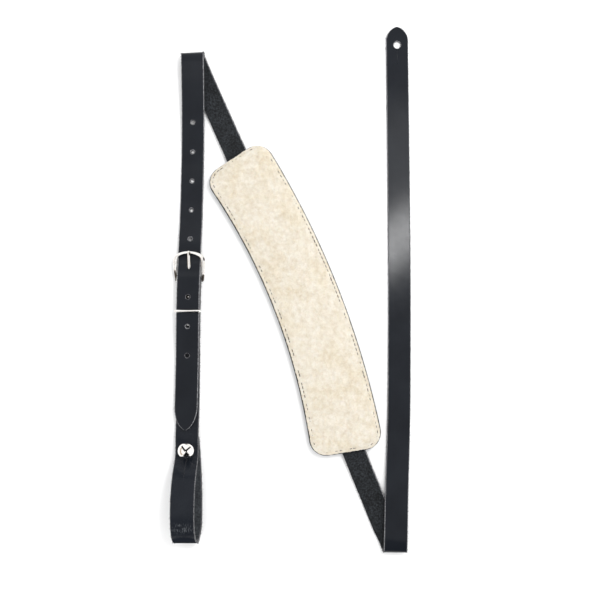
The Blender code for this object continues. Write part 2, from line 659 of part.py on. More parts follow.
def pad_outline(inset, side_steps=14, corner_steps=6):
    """The pad's outline, drawn in by an inset, anticlockwise: a rounded rectangle bent along the arc."""
    half_u = PAD_LENGTH / 2 - inset
    half_v = PAD_END_WIDTH / 2 - inset
    radius = max(PAD_CORNER - inset, SMALLEST_CORNER)
    corners = ((-1, 1, 0), (1, 1, 90), (1, -1, 180), (-1, -1, 270))
    flat = []
    for side_u, side_v, first in corners:
        centre_u = side_u * (half_u - radius)
        centre_v = side_v * (half_v - radius)
        for k in range(corner_steps + 1):
            angle = math.radians(first + 90 * k / corner_steps - 90)
            flat.append((centre_u + radius * math.sin(angle), centre_v + radius * math.cos(angle)))
        if side_u == side_v * -1:
            # The long sides need stations of their own to follow the arc.
            end_u = -centre_u
            for k in range(1, side_steps):
                flat.append((centre_u + (end_u - centre_u) * k / side_steps, side_v * half_v))
    return [pad_point(u, v) for u, v in flat]


def loft(name, rings):
    """A closed solid through rings of equal counts of points, from bottom to top."""
    bm = bmesh.new()
    rows = [[bm.verts.new((x, y, z)) for x, y in ring] for ring, z in rings]
    bm.faces.new(rows[0])
    bm.faces.new(rows[-1])
    for low, high in zip(rows, rows[1:]):
        for i in range(len(low)):
            j = (i + 1) % len(low)
            bm.faces.new((low[i], low[j], high[j], high[i]))
    return mesh_object(name, bm)


def rings_from(levels):
    return [(pad_outline(inset * MM), z) for inset, z in levels]


def tunnel_rivet_places():
    """Places of the four tunnel rivets, in the plane."""
    direction = Vector((-math.sin(STRAP_HEADING), math.cos(STRAP_HEADING)))
    across = Vector((math.cos(STRAP_HEADING), math.sin(STRAP_HEADING)))
    return [
        STRAP_MIDDLE + direction * distance + across * side * TUNNEL_RIVET_ACROSS
        for distance in TUNNELS.values()
        for side in (-1, 1)
    ]


def make_pad(parts, cutters, leather, fleece_mat, thread_mat, nickel):
    """Backing, fleece with a thin sewn flange and a crown, seam and tunnel rivets, all on one slider."""
    slider = bpy.data.objects.new("pad_slider", None)
    slider.location = (*STRAP_MIDDLE, 0)
    place(slider, parts)
    top = BACKING_LOW + BACKING_THICK
    edge = EDGE_ROUNDING / MM
    levels = (
        (edge, BACKING_LOW), (0.0, BACKING_LOW + EDGE_ROUNDING), (0.0, top - EDGE_ROUNDING), (edge, top),
    )
    backing = place(loft("pad_backing", rings_from(levels)), parts, leather, slider)
    flange = FLEECE_LOW + FLEECE_FLANGE
    crown = FLEECE_LOW + FLEECE_THICK
    levels = (
        (0.9, FLEECE_LOW), (0.5, FLEECE_LOW + 1 * MM), (0.9, flange), (4.6, flange + 0.2 * MM),
        (5.0, flange + 3 * MM), (7.0, crown - 2.2 * MM), (11.0, crown - 0.6 * MM), (16.0, crown),
    )
    fleece = place(loft("pad_fleece", rings_from(levels)), parts, fleece_mat, slider)
    for k, spot in enumerate(tunnel_rivet_places()):
        make_pad_rivet(k + 1, spot, backing, fleece, parts, cutters, nickel, slider)
    height = flange + THREAD_CLEARANCE + THREAD_RADIUS
    seam = [(*point, height, 1.0) for point in pad_outline(SEAM_INSET)]
    thread = wire("pad_thread", seam, THREAD_RADIUS, closed=True)
    place(thread, parts, thread_mat, slider)
    return slider


def make_pad_rivet(number, spot, backing, fleece, parts, cutters, nickel, slider):
    """One rivet of a tunnel, its bore through the backing and the pocket for its head in the fleece."""
    up = (0, 0, 1)
    centre = Vector((*spot, BACKING_LOW))
    name = f"pad_rivet_bore_{number}"
    cut(backing, cylinder_cutter(name, centre, up, TUNNEL_RIVET_POST + GAP, THROUGH_CHAPE, cutters, 12))
    centre.z = FLEECE_LOW
    name = f"pad_rivet_pocket_{number}"
    cut(fleece, cylinder_cutter(name, centre, up, RIVET_POCKET, 2 * RIVET_POCKET_DEPTH, cutters))
    profile = rivet_profile(TUNNEL_RIVET_FOOT, TUNNEL_RIVET_TOP, TUNNEL_RIVET_CAP, TUNNEL_RIVET_POST)
    turned(f"pad_rivet_{number}", profile, (*spot, 0), nickel, parts, slider, steps=16)


def make_tunnel(name, distance, parts, cutters, leather, slider):
    """A strip of leather across the strap, flat under it and raised at both ends to the backing."""
    low = TUNNEL_THICK / 2
    high = BACKING_LOW - GAP - TUNNEL_THICK / 2
    # Distance across the strap and height, from the middle outwards
    half = (
        (10.4 * MM, low), (11.6 * MM, low + 0.4 * MM), (13.2 * MM, high - 0.5 * MM), (14.6 * MM, high),
        (TUNNEL_HALF_SPAN, high),
    )
    profile = [(-across, z) for across, z in reversed(half)] + list(half)
    bm = bmesh.new()
    verts = [bm.verts.new((across, -TUNNEL_LENGTH / 2, z)) for across, z in profile]
    edges = [bm.edges.new(pair) for pair in zip(verts, verts[1:])]
    made = bmesh.ops.extrude_edge_only(bm, edges=edges)["geom"]
    far_side = [item for item in made if isinstance(item, bmesh.types.BMVert)]
    bmesh.ops.translate(bm, verts=far_side, vec=(0, TUNNEL_LENGTH, 0))
    tunnel = mesh_object(name, bm)
    direction = Vector((-math.sin(STRAP_HEADING), math.cos(STRAP_HEADING)))
    tunnel.location = (*(STRAP_MIDDLE + direction * distance), 0)
    tunnel.rotation_euler.z = STRAP_HEADING
    place(tunnel, parts, leather, slider)
    thicken(tunnel, TUNNEL_THICK)
    for k, spot in enumerate(tunnel_rivet_places()):
        if (spot - tunnel.location.xy).length < TUNNEL_HALF_SPAN:
            centre = Vector((*spot, high))
            radius = TUNNEL_RIVET_POST + GAP
            bore = f"{name}_bore_{k + 1}"
            cut(tunnel, cylinder_cutter(bore, centre, (0, 0, 1), radius, TUNNEL_BORE_LENGTH, cutters, 12))


def main():
    clear_scene()
    parts = new_collection("padded_shoulder_strap")
    cutters = new_collection("cutters", hidden=True)
    leather = material("black_leather", (0.018, 0.019, 0.024), 0.42)
    fleece = material("cream_fleece", (0.84, 0.76, 0.62), 0.95)
    thread = material("black_thread", (0.02, 0.02, 0.02), 0.8)
    nickel = material("nickel_plate", (0.82, 0.79, 0.74), 0.12, 1.0)
    steel = material("screw_steel", (0.6, 0.6, 0.6), 0.3, 1.0)
    make_main_strap(parts, cutters, leather)
    make_loop_strap(parts, cutters, leather)
    hinge = make_buckle(parts, nickel)
    make_tongue(parts, cutters, nickel, hinge)
    make_keeper(parts, nickel)
    make_chape_rivets(parts, nickel)
    make_stud(parts, nickel, steel)
    slider = make_pad(parts, cutters, leather, fleece, thread, nickel)
    for name, distance in TUNNELS.items():
        make_tunnel(name, distance, parts, cutters, leather, slider)


main()
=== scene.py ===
"""Looks of the fleece-padded shoulder strap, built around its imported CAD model.

Metres, +Z up, +Y towards the folded top end. The strap lies on the floor at z = 0.
"""

import math
import random

import bmesh
import bpy
import numpy as np
from mathutils import Matrix, Vector, noise


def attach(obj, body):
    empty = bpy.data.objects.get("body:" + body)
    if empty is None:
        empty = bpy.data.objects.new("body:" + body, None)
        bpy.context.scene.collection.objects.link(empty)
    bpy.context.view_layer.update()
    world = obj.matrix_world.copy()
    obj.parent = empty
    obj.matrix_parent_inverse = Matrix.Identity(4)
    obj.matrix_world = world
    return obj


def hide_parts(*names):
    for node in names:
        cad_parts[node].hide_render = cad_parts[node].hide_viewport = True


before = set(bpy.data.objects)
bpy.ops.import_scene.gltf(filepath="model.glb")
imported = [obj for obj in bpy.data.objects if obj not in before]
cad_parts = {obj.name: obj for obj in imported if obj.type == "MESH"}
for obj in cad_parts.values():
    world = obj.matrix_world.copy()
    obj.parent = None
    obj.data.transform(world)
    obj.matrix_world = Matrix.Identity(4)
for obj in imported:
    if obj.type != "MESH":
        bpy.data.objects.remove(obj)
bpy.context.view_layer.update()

MM = 0.001

# Material index of each side of a leather piece
GRAIN, FLESH, EDGE = range(3)

# Leather, as in the CAD model
STRAP_WIDTH = 19.4 * MM
STRAP_THICK = 2.5 * MM
HALF_THICK = STRAP_THICK / 2
BILLET_TAPER = 20.0 * MM
BILLET_ROUNDNESS = 0.58
TIP_TAPER = 12.5 * MM
TIP_ROUNDNESS = 0.62
STATION_STEP = 1.6 * MM
MOST_BEND = math.radians(3.0)
EDGE_ROUND = 0.5 * MM
HOLE_RADIUS = 2.1 * MM
SPACING_TOWARDS_FOLD = 25.8 * MM
SPACING_TOWARDS_TIP = 25.1 * MM
HOLES_TOWARDS_FOLD = 5
HOLES_TOWARDS_TIP = 3
TONGUE_HOLE_FROM_HEEL = 10.7 * MM
HOLE_CHOKE = 0.8 * MM
CHOKED_HOLES = (-2, 1, 2, 3, 4)
SLIT_HALF_WIDTH = 0.15 * MM
KEYHOLE = Vector((92.4, 211.0, 1.25)) * MM
KEYHOLE_RADIUS = 3.4 * MM
KEYHOLE_SLIT = 13.0 * MM

# Hardware, as in the CAD model
HEEL = Vector((-88.95, 1.0, 3.9)) * MM
BUCKLE_TILT = math.radians(12.0)
BUCKLE_LENGTH = 24.5
TONGUE_RADIUS = 1.1 * MM
TONGUE_LENGTH = 26.3 * MM
TONGUE_TILT = math.radians(17.6)
TONGUE_RING_RADIUS = 2.4 * MM
TONGUE_RING_WIRE = 0.95 * MM
TONGUE_SLOT_WIDTH = 4.6 * MM
KEEPER = Vector((-89.4, -25.4, 0.0)) * MM
CHAPE_RIVETS_Y = (-12.9 * MM, -34.2 * MM)
STUD = Vector((-89.0, -142.0, 0.0)) * MM
STUD_BALL_RADIUS = 6.7 * MM
STUD_BALL_HALF_HEIGHT = 5.5 * MM
STUD_BALL_HEIGHT = 14.0 * MM
STUD_NECK = 2.6 * MM
LOOP_SLIT = 20.3 * MM

# Shoulder pad, as in the CAD model
PAD_MIDDLE = Vector((10.95, -13.15)) * MM
PAD_HEADING = math.radians(21.4)
PAD_ARC = 630.0 * MM
PAD_LENGTH = 273.0 * MM
PAD_END_WIDTH = 62.0 * MM
PAD_MIDDLE_WIDTH = 58.2 * MM
PAD_CORNER = 15.0 * MM
BACKING_LOW = 4.7 * MM
BACKING_THICK = 2.0 * MM
FLEECE_LOW = 7.0 * MM
FLEECE_FLANGE = 2.2 * MM
FLEECE_CROWN = 9.5 * MM
FLEECE_INSET = 0.95 * MM
SEAM_INSET = 3.6 * MM
STITCH = 3.1 * MM
STITCH_GAP = 0.7 * MM
THREAD_RADIUS = 0.34 * MM
GROOVE = 0.25 * MM
THREAD_SUNK = 0.92 * MM
STRAP_MIDDLE = Vector((1.0, -15.6)) * MM
STRAP_HEADING = math.radians(21.6)
TUNNELS = {"upper": 108.0 * MM, "lower": -118.0 * MM}
TUNNEL_LENGTH = 18.0 * MM
TUNNEL_THICK = 1.5 * MM
TUNNEL_HALF_SPAN = 22.0 * MM
TUNNEL_RIVET_ACROSS = 18.2 * MM

# Cloth simulation of the fleece, and how far it may move the face from the height that the filling gives
CLOTH = {
    "quality": 6, "mass": 0.2, "tension_stiffness": 12, "compression_stiffness": 12, "bending_stiffness": 0.8,
    "use_pressure": True, "uniform_pressure_force": 3.0,
}
CLOTH_FRAMES = 14
MOST_SWELL = 1.6 * MM
FLEECE_ROWS = 68
FLEECE_COLUMNS = 18
FLEECE_FINER = 5
RIM_SEED = 7

# Camera
CAMERA_DISTANCE = 600 * MM
CAMERA_TILT = math.radians(4.0)
CAMERA_TARGET = Vector((1.95, -10.9, 0.0)) * MM
CAMERA_LENS = 42.25
WALL_REACH = 3.5
WALL_HEIGHTS = (0.5, 2.4)
FLAG_REACH = 22.0 * MM
FLAG_HALF_WIDTH = 3.8 * MM
FLAG_BEARINGS = (math.radians(131), math.radians(40))
RIG_HUB = Vector((0.0, -0.055, 0.66))
RIG_FOOT = Vector((0.05, -1.0, 0.45))
# Share of the way from hub to foot, and half the rig's width there
RIG_WEDGE = ((0.0, 0.07), (0.26, 0.11), (0.5, 0.28), (1.0, 0.75))
RIG_SKIRT = ((-0.40, -1.0, 0.45), (0.50, -1.0, 0.45), (0.60, -1.1, 0.0), (-0.50, -1.1, 0.0))

# Room light, and the small lights of the leather's sheen: name, place over the floor, size, power and turn
ROOM_LIGHT = 1.16
SHEEN_HEIGHT = 0.60
SHEEN_LIGHTS = (
    ("sheen", 0.1825, 0.130, (0.14, 0.068), 1.24, math.radians(40)),
    ("soft_sheen", 0.1825, 0.285, (0.14, 0.14), 0.20, math.radians(40)),
    ("fold_sheen", -0.188, 0.353, (0.16, 0.22), 0.08, 0.0),
)

# Places of the buckle painted dark brown, as painted reflections on its side bars and shoulder and painted
# shade where the tongue rests on the frame: offset from the middle of the heel bar, and radii, in mm
PAINTED_REFLECTIONS_AND_SHADE = (
    ((-12.2, 5.0, 1.0), (1.5, 8.0, 4.0)), ((12.0, 2.2, 0.5), (1.6, 5.0, 4.0)),
    ((12.9, 18.6, 4.0), (1.2, 2.4, 3.0)), ((0.9, 22.6, 6.5), (0.8, 1.8, 4.0)),
)

# Black grain leather: its darkest and palest colour, and how much it mirrors
GRAIN_COLOURS = ((0.0066, 0.0079, 0.0110), (0.0100, 0.0119, 0.0157))
GRAIN_POLISH = 0.125

# Centre line of the main strap's middle surface: x, y, z in mm, and the turn of its width in degrees
MAIN_ROUTE = (
    (-91, -125.8, 6.4, -1), (-90.8, -112, 4.9, -1), (-90.6, -100, 4.2, -1), (-90.3, -78, 4.15, -1),
    (-90, -60, 5, -1), (-89.7, -46, 7.4, -1), (-89.5, -34, 8.8, -1), (-89.4, -24, 8.85, -1),
    (-89.3, -12, 9, -1), (-89.1, -3, 9.35, -1), (-89, 2.5, 9.35, -1), (-88.95, 6.5, 8.7, -1),
    (-88.95, 11.7, 7.2, -1), (-88.95, 17, 5.75, -1), (-88.9, 24, 5.1, -1), (-88.7, 34, 4.4, -1),
    (-88.4, 50, 2.6, -1), (-88.2, 68, 1.45, -1), (-88, 82, 1.25, -1), (-87.7, 105, 1.3, -1),
    (-87.5, 125, 2.4, -1), (-87.3, 143, 4.6, -1), (-87.2, 163, 7.4, -1), (-87.3, 182, 9.9, 0),
    (-87.5, 193.5, 10.85, 1), (-87.7, 198.8, 9.5, 2), (-88, 201, 6.1, 4), (-87.3, 198.6, 2.6, 10),
    (-84.6, 192, 1.3, 18), (-79.6, 180, 1.25, 23), (-71.2, 161, 1.25, 24), (-64.7, 146.5, 1.4, 24),
    (-57, 129, 2.5, 23), (-50.2, 113.7, 3.15, 21.6), (-41.3, 91.3, 3.15, 21.6), (1, -15.6, 3.15, 21.6),
    (43.3, -122.5, 3.15, 21.6), (53.1, -147.2, 3.15, 21.6), (60.1, -164.8, 2.1, 21.6),
    (67.5, -182.8, 1.25, 21.6), (77, -206, 1.25, 19), (82, -217, 1.3, 11), (84.6, -223.8, 2.6, 5),
    (85.5, -226, 5.5, 0), (85.6, -223.6, 8.7, -3), (85.8, -217, 9.6, -3), (86.4, -203, 8.3, -3),
    (87.3, -184, 6, -3), (88.6, -160, 3.6, -3), (89.8, -136, 1.9, -3), (90.7, -112, 1.25, -2),
    (91.6, -60, 1.25, -1), (92.3, 0, 1.25, 0), (92.54, 75, 1.25, 0), (92.5, 130, 1.25, 0),
    (92.4, 180, 1.25, 0), (92.4, 205, 1.25, 0), (92.4, 227.35, 1.25, 0),
)

# The same for the loop strap, from the end of its turn-back to the heel bar, and from there to its end
LOOP_ROUTE_TO_HEEL = (
    (-89.4, -48, 1.25, -1), (-89.4, -30, 1.25, -1), (-89.2, -10, 1.25, -1), (-89, -3, 1.25, -1),
)
LOOP_ROUTE_FROM_HEEL = (
    (-89, -3, 6.4, -1), (-89.1, -6.3, 5.3, -1), (-89.2, -9.2, 4.4, -1), (-89.3, -12.9, 4.3, -1),
    (-89.3, -16.3, 4.35, -1), (-89.4, -19, 5.65, -1), (-89.4, -20.8, 6.05, -1), (-89.4, -27, 6.05, -1),
    (-89.4, -28.5, 5.65, -1), (-89.4, -30.8, 4.45, -1), (-89.4, -34.2, 4.3, -1), (-89.4, -38, 4.3, -1),
    (-89.4, -48.5, 4.15, -1), (-89.4, -54, 2.8, -1), (-89.4, -60, 1.6, -1), (-89.4, -68, 1.25, -1),
    (-89.5, -98, 1.25, -1), (-89.6, -112, 1.6, -1), (-89.7, -124, 3, -1), (-89.6, -132, 4.75, -1),
    (-89.4, -137, 5.6, 0), (-89.3, -144, 5.9, 0), (-89.2, -149, 8, 0), (-89.1, -153.5, 12.8, 0),
    (-89, -160, 20.5, 0), (-89, -170, 27, 0), (-89, -183, 30.2, 0), (-89, -196, 29.6, 0),
    (-89, -207, 25, 0), (-88.8, -214, 18, 0), (-88.2, -216.5, 11.5, 0), (-87.5, -214.6, 6, 1),
    (-86.6, -209, 2.4, 2), (-86.2, -200, 1.25, 2), (-86.3, -185, 1.25, 0), (-87.2, -160, 1.25, -3),
    (-88.5, -142, 1.25, -4), (-89.4, -131.5, 1.25, -5),
)


# Materials


class Shader:
    """Short names for building one node material in object coordinates, in metres."""

    def __init__(self, name, roughness, metallic=0.0, specular=0.5):
        self.material = bpy.data.materials.new(name)
        self.material.use_nodes = True
        self.tree = self.material.node_tree
        self.shader = self.tree.nodes["Principled BSDF"]
        self.set("Roughness", roughness)
        self.set("Metallic", metallic)
        self.set("Specular IOR Level", specular)
        self.place = self.node("TexCoord", {}).outputs["Object"]

    def set(self, socket, value):
        self.feed(self.shader, {socket: value})

    def feed(self, node, inputs):
        """Each input is given another node's output or a plain value."""
        for socket, value in inputs.items():
            if isinstance(value, bpy.types.NodeSocket):
                self.tree.links.new(value, node.inputs[socket])
            else:
                node.inputs[socket].default_value = value

    def node(self, kind, inputs, **properties):
        node = self.tree.nodes.new("ShaderNode" + kind)
        for name, value in properties.items():
            setattr(node, name, value)
        self.feed(node, inputs)
        return node

    def stretched(self, stretch):
        """Object coordinates, scaled along each axis."""
        return self.node("Mapping", {"Vector": self.place, "Scale": stretch}).outputs[0]

    def noise(self, per_metre, detail=3.0, roughness=0.55, stretch=(1, 1, 1)):
        inputs = {
            "Vector": self.stretched(stretch), "Scale": per_metre, "Detail": detail, "Roughness": roughness,
        }
        return self.node("TexNoise", inputs).outputs["Fac"]

    def cells(self, per_metre):
        inputs = {"Vector": self.stretched((1, 1, 1)), "Scale": per_metre}
        return self.node("TexVoronoi", inputs).outputs["Distance"]

    def ramp(self, value, low, high, at=(0.3, 0.7)):
        node = self.node("ValToRGB", {"Fac": value})
        for element, position, colour in zip(node.color_ramp.elements, at, (low, high)):
            element.position = position
            element.color = (*colour, 1.0)
        return node.outputs["Color"]

    def spread(self, value, low, high, at=(0.3, 0.7), kind="LINEAR"):
        """Maps the value's range at onto low to high."""
        inputs = {"Value": value, "From Min": at[0], "From Max": at[1], "To Min": low, "To Max": high}
        return self.node("MapRange", inputs, interpolation_type=kind).outputs["Result"]

    def mix(self, share, first, second, kind="MIX"):
        inputs = {"Factor": share, "A": first, "B": second}
        return self.node("Mix", inputs, data_type="RGBA", blend_type=kind).outputs["Result"]

    def times(self, first, second):
        return self.node("Math", {0: first, 1: second}, operation="MULTIPLY").outputs[0]

    def spot(self, centre, radii):
        """1 at the centre of an ellipsoid in object coordinates, falling to 0 at its surface."""
        moved = self.node("VectorMath", {0: self.place, 1: centre}, operation="SUBTRACT").outputs[0]
        scaled = self.node("VectorMath", {0: moved, 1: radii}, operation="DIVIDE").outputs[0]
        length = self.node("VectorMath", {0: scaled}, operation="LENGTH").outputs["Value"]
        return self.spread(length, 0.0, 1.0, (1.0, 0.5), "SMOOTHSTEP")

    def bumps(self, *layers):
        """Each layer is (height output, strength, distance in metres), the coarsest first."""
        below = {}
        for height, strength, distance in layers:
            node = self.node("Bump", {"Height": height, "Strength": strength, "Distance": distance, **below})
            below = {"Normal": node.outputs["Normal"]}
        self.feed(self.shader, below)


def grain_leather(name, scuffs, roughness, painted_light_scale=1.0, crackle=None, unpolished_for_shade=None):
    """Smooth black grain side: fine pebble, faint creasing and a soft polish, paler where it has been worked.

    scuffs lists the (centre, radii) of pale rubbed lines. crackle is one of a place with cracked grain,
    and dull one of a place left without polish, as painted shade. Above 1, lift paints the colour lighter, as
    painted light.
    """
    leather = Shader(name, roughness, specular=GRAIN_POLISH)
    # Above 1, lift paints the leather lighter, as painted light.
    low, high = (tuple(channel * painted_light_scale for channel in colour) for colour in GRAIN_COLOURS)
    colour = leather.ramp(leather.noise(38, 4), low, high)
    for centre, radii in scuffs:
        share = leather.times(leather.spot(centre, radii), leather.spread(leather.noise(900, 3), 0.25, 0.8))
        colour = leather.mix(share, colour, (0.055, 0.057, 0.064, 1.0))
    if crackle:
        strokes = leather.noise(1000, 4, 0.6, (1.6, 0.4, 0.4))
        lines = leather.spread(leather.spread(strokes, -0.9, 1.25), -0.2, 0.7)
        colour = leather.mix(leather.times(leather.spot(*crackle), lines), colour, (0.115, 0.122, 0.132, 1.0))
    # Taking the polish away at this place darkens it, as painted shade.
    if unpolished_for_shade:
        leather.set("Specular IOR Level", leather.spread(leather.spot(*unpolished_for_shade), GRAIN_POLISH, 0.0))
    leather.set("Base Color", colour)
    leather.set("Roughness", leather.spread(leather.noise(210, 4), roughness, roughness + 0.04))
    creases = leather.noise(420, 5, 0.6, (1, 0.6, 1))
    leather.bumps((creases, 0.015, 0.0003), (leather.cells(1500), 0.03, 0.00012))
    return leather.material


def flesh_leather(name, dark, pale):
    """Brushed flesh side: charcoal nap mottled between the two colours."""
    leather = Shader(name, 0.86, specular=0.15)
    mottle = leather.noise(700, 6, 0.72)
    fine = leather.ramp(mottle, dark, pale, (0.42, 0.74))
    shade = leather.ramp(leather.noise(90, 3), (0.6, 0.6, 0.6), (1.0, 1.0, 1.0))
    leather.set("Base Color", leather.mix(1.0, fine, shade, "MULTIPLY"))
    leather.set("Sheen Weight", 0.06)
    leather.set("Sheen Roughness", 0.6)
    leather.bumps((mottle, 0.5, 0.0004), (leather.noise(2600, 3), 0.35, 0.00015))
    return leather.material


def cut_edge_leather(name, pale):
    """Raw cut edge: dyed core with fibres of the given lightness standing out of it."""
    leather = Shader(name, 0.7, specular=0.3)
    fibres = leather.noise(1300, 5, 0.7)
    colour = leather.ramp(fibres, (0.02, 0.021, 0.024), (pale, pale, pale * 1.05), (0.42, 0.68))
    leather.set("Base Color", colour)
    leather.bumps((fibres, 0.6, 0.0003))
    return leather.material


def sheared_fleece():
    """Cream wool pile: painted darker and warmer in its hollows as painted shade, with a little light passing
    through it.
    """
    wool = Shader("fleece_wool", 0.95, specular=0.1)
    curls = wool.noise(900, 5, 0.65)
    base = wool.ramp(wool.noise(220, 4, 0.6), (0.715, 0.645, 0.527), (0.825, 0.775, 0.677), (0.3, 0.6))
    # Painted shade: darker and warmer where the bump relief is low.
    tips = wool.ramp(curls, (0.90, 0.88, 0.85), (1.0, 1.0, 1.0), (0.3, 0.6))
    soiled = wool.ramp(wool.noise(48, 3, 0.6), (0.96, 0.935, 0.88), (1.0, 1.0, 1.0), (0.36, 0.56))
    base = wool.mix(1.0, base, soiled, "MULTIPLY")
    wool.set("Base Color", wool.mix(1.0, base, tips, "MULTIPLY"))
    wool.set("Sheen Weight", 0.12)
    wool.set("Sheen Roughness", 0.7)
    wool.set("Subsurface Weight", 0.15)
    wool.set("Subsurface Radius", (0.0015, 0.0011, 0.0007))
    wool.set("Subsurface Scale", 1.0)
    wool.bumps((curls, 0.4, 0.0005), (wool.noise(3200, 3), 0.3, 0.0002))
    return wool.material


def nickel_plate(painted_dark_places):
    """Polished nickel with hairline scratches, and painted dark reflections and shade at the (centre, radii)
    listed.
    """
    metal = Shader("nickel_plate", 0.1, 1.0)
    colour = metal.ramp(metal.noise(260, 4), (0.88, 0.85, 0.81), (0.97, 0.96, 0.94))
    # Dark brown at each place listed: painted reflections and painted shade.
    for centre, radii in painted_dark_places:
        share = metal.spread(metal.spot(centre, radii), 0.0, 1.6)
        colour = metal.mix(share, colour, (0.07, 0.055, 0.045, 1.0))
    metal.set("Base Color", colour)
    scratches = metal.noise(1800, 2, 0.5, (1, 0.08, 1))
    metal.set("Roughness", metal.spread(scratches, 0.06, 0.16))
    metal.bumps((scratches, 0.05, 0.00005))
    return metal.material


def screw_steel():
    """Plated steel with turning marks."""
    metal = Shader("screw_steel", 0.3, 1.0)
    metal.set("Base Color", metal.ramp(metal.noise(500, 3), (0.42, 0.43, 0.44), (0.62, 0.62, 0.63)))
    marks = metal.noise(2200, 2, 0.5, (1, 0.1, 1))
    metal.set("Roughness", metal.spread(marks, 0.25, 0.45))
    metal.bumps((marks, 0.1, 0.00005))
    return metal.material


def seam_thread():
    """Dark waxed thread with its twist."""
    thread = Shader("seam_thread", 0.65, specular=0.3)
    twist = thread.noise(2400, 2, 0.5)
    thread.set("Base Color", thread.ramp(twist, (0.035, 0.027, 0.021), (0.14, 0.105, 0.075)))
    thread.bumps((twist, 0.5, 0.0002))
    return thread.material


def paper_floor():
    """Plain pale paper."""
    paper = Shader("floor_paper", 0.9, specular=0.0)
    paper.set("Base Color", paper.ramp(paper.noise(9, 2), (0.925, 0.925, 0.925), (0.935, 0.935, 0.935)))
    return paper.material


# Shared shapes


def mesh_object(name, bm, materials, sharp=35):
    """A smooth-shaded object made of the bmesh, sharp where it turns by more than this many degrees."""
    mesh = bpy.data.meshes.new(name)
    bmesh.ops.recalc_face_normals(bm, faces=bm.faces)
    bm.to_mesh(mesh)
    bm.free()
    obj = bpy.data.objects.new(name, mesh)
    bpy.context.scene.collection.objects.link(obj)
    for material in materials:
        mesh.materials.append(material)
    smooth(mesh, sharp)
    return obj


def smooth(mesh, sharp=35):
    mesh.shade_smooth()
    mesh.set_sharp_from_angle(angle=math.radians(sharp))


def apply_modifiers(obj):
    """Makes the evaluated mesh the object's own."""
    bpy.context.view_layer.update()
    graph = bpy.context.evaluated_depsgraph_get()
    mesh = bpy.data.meshes.new_from_object(obj.evaluated_get(graph))
    obj.modifiers.clear()
    obj.data = mesh
    smooth(mesh)


def stands_for(obj, body, slot, *nodes):
    """Puts the piece on the body that it rides on, and hides the CAD nodes that it replaces. slot is not
    used.
    """
    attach(obj, body)
    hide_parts(*nodes)
    return obj


def angles(count):
    """Evenly spaced angles round a circle."""
    return [2 * math.pi * k / count for k in range(count)]


def heading(angle):
    """The level direction at an angle from +X."""
    return Vector((math.cos(angle), math.sin(angle), 0))


def loft(bm, rings, kinds=None, capped=True):
    """Joins each ring of points to the next, with a material for each side, and returns its end caps."""
    for low, high in zip(rings, rings[1:]):
        for k in range(len(low)):
            n = (k + 1) % len(low)
            face = bm.faces.new((low[k], low[n], high[n], high[k]))
            if kinds:
                face.material_index = kinds[k]
    return [bm.faces.new(ring) for ring in (rings[0], rings[-1])] if capped else []


def smooth_route(knots):
    """Centripetal Catmull-Rom curve through the knots, as (point, width turn) rows."""
    rows = [Vector(knot) for knot in knots]
    rows = [rows[0] * 2 - rows[1], *rows, rows[-1] * 2 - rows[-2]]
    dense = []
    for before, start, end, after in zip(rows, rows[1:], rows[2:], rows[3:]):
        t1 = max((start - before).length, 1e-9) ** 0.5
        t2 = t1 + (end - start).length ** 0.5
        t3 = t2 + max((after - end).length, 1e-9) ** 0.5
        pieces = max(8, int((end - start).length * MM / STATION_STEP * 4))
        for k in range(pieces):
            t = t1 + (t2 - t1) * k / pieces
            a1 = before * ((t1 - t) / t1) + start * (t / t1)
            a2 = start * ((t2 - t) / (t2 - t1)) + end * ((t - t1) / (t2 - t1))
            a3 = end * ((t3 - t) / (t3 - t2)) + after * ((t - t2) / (t3 - t2))
            b1 = a1 * ((t2 - t) / t2) + a2 * (t / t2)
            b2 = a2 * ((t3 - t) / (t3 - t1)) + a3 * ((t - t1) / (t3 - t1))
            dense.append(b1 * ((t2 - t) / (t2 - t1)) + b2 * ((t - t1) / (t2 - t1)))
    dense.append(rows[-2])
    return thin_out(dense)


def thin_out(dense):
    """Keeps points a step apart where the strap is straight, and closer where it bends."""
    kept = [0]
    for i in range(1, len(dense) - 1):
        travelled = (dense[i].xyz - dense[kept[-1]].xyz).length * MM
        first = (dense[kept[-1] + 1].xyz - dense[kept[-1]].xyz).normalized()
        here = (dense[i + 1].xyz - dense[i].xyz).normalized()
        if travelled >= STATION_STEP or (first.angle(here, 0.0) > MOST_BEND and travelled > 0.25 * MM):
            kept.append(i)
    kept.append(len(dense) - 1)
    route = []
    for i in kept:
        x, y, z, turn = dense[i]
        route.append((Vector((x, y, max(z, HALF_THICK / MM))) * MM, math.radians(turn)))
    return route


def arc_lengths(points):
    """Distance of each point from the first, along the line through them."""
    lengths = [0.0]
    for a, b in zip(points, points[1:]):
        lengths.append(lengths[-1] + (b - a).length)
    return lengths


def along(route, distance):
    """Point and upward normal of the strap at a distance from its first end."""
    lengths = arc_lengths([point for point, _ in route])
    for i, (start, end) in enumerate(zip(lengths, lengths[1:])):
        if distance <= end:
            break
    (a, turn), (b, _) = route[i], route[i + 1]
    normal = heading(turn).cross((b - a).normalized()).normalized()
    return a.lerp(b, (distance - start) / (end - start)), normal if normal.z > 0 else -normal


def distance_at_y(route, y):
    """Distance from the first end to where the strap first passes this y."""
    lengths = arc_lengths([point for point, _ in route])
    for i, ((a, _), (b, _)) in enumerate(zip(route, route[1:])):
        if (a.y - y) * (b.y - y) <= 0:
            return lengths[i] + (lengths[i + 1] - lengths[i]) * (y - a.y) / (b.y - a.y)
    raise ValueError("the strap does not pass that y")


def half_width(distance, total, start_taper, end_taper):
    """Half width of the strap at a distance along it, narrowed in its round tips."""
    full = STRAP_WIDTH / 2
    tips = ((distance, start_taper, BILLET_ROUNDNESS), (total - distance, end_taper, TIP_ROUNDNESS))
    for reach, taper, roundness in tips:
        if taper and reach < taper:
            t = 1 - reach / taper
            return full * max(0.05, (1 - t * t) ** roundness)
    return full


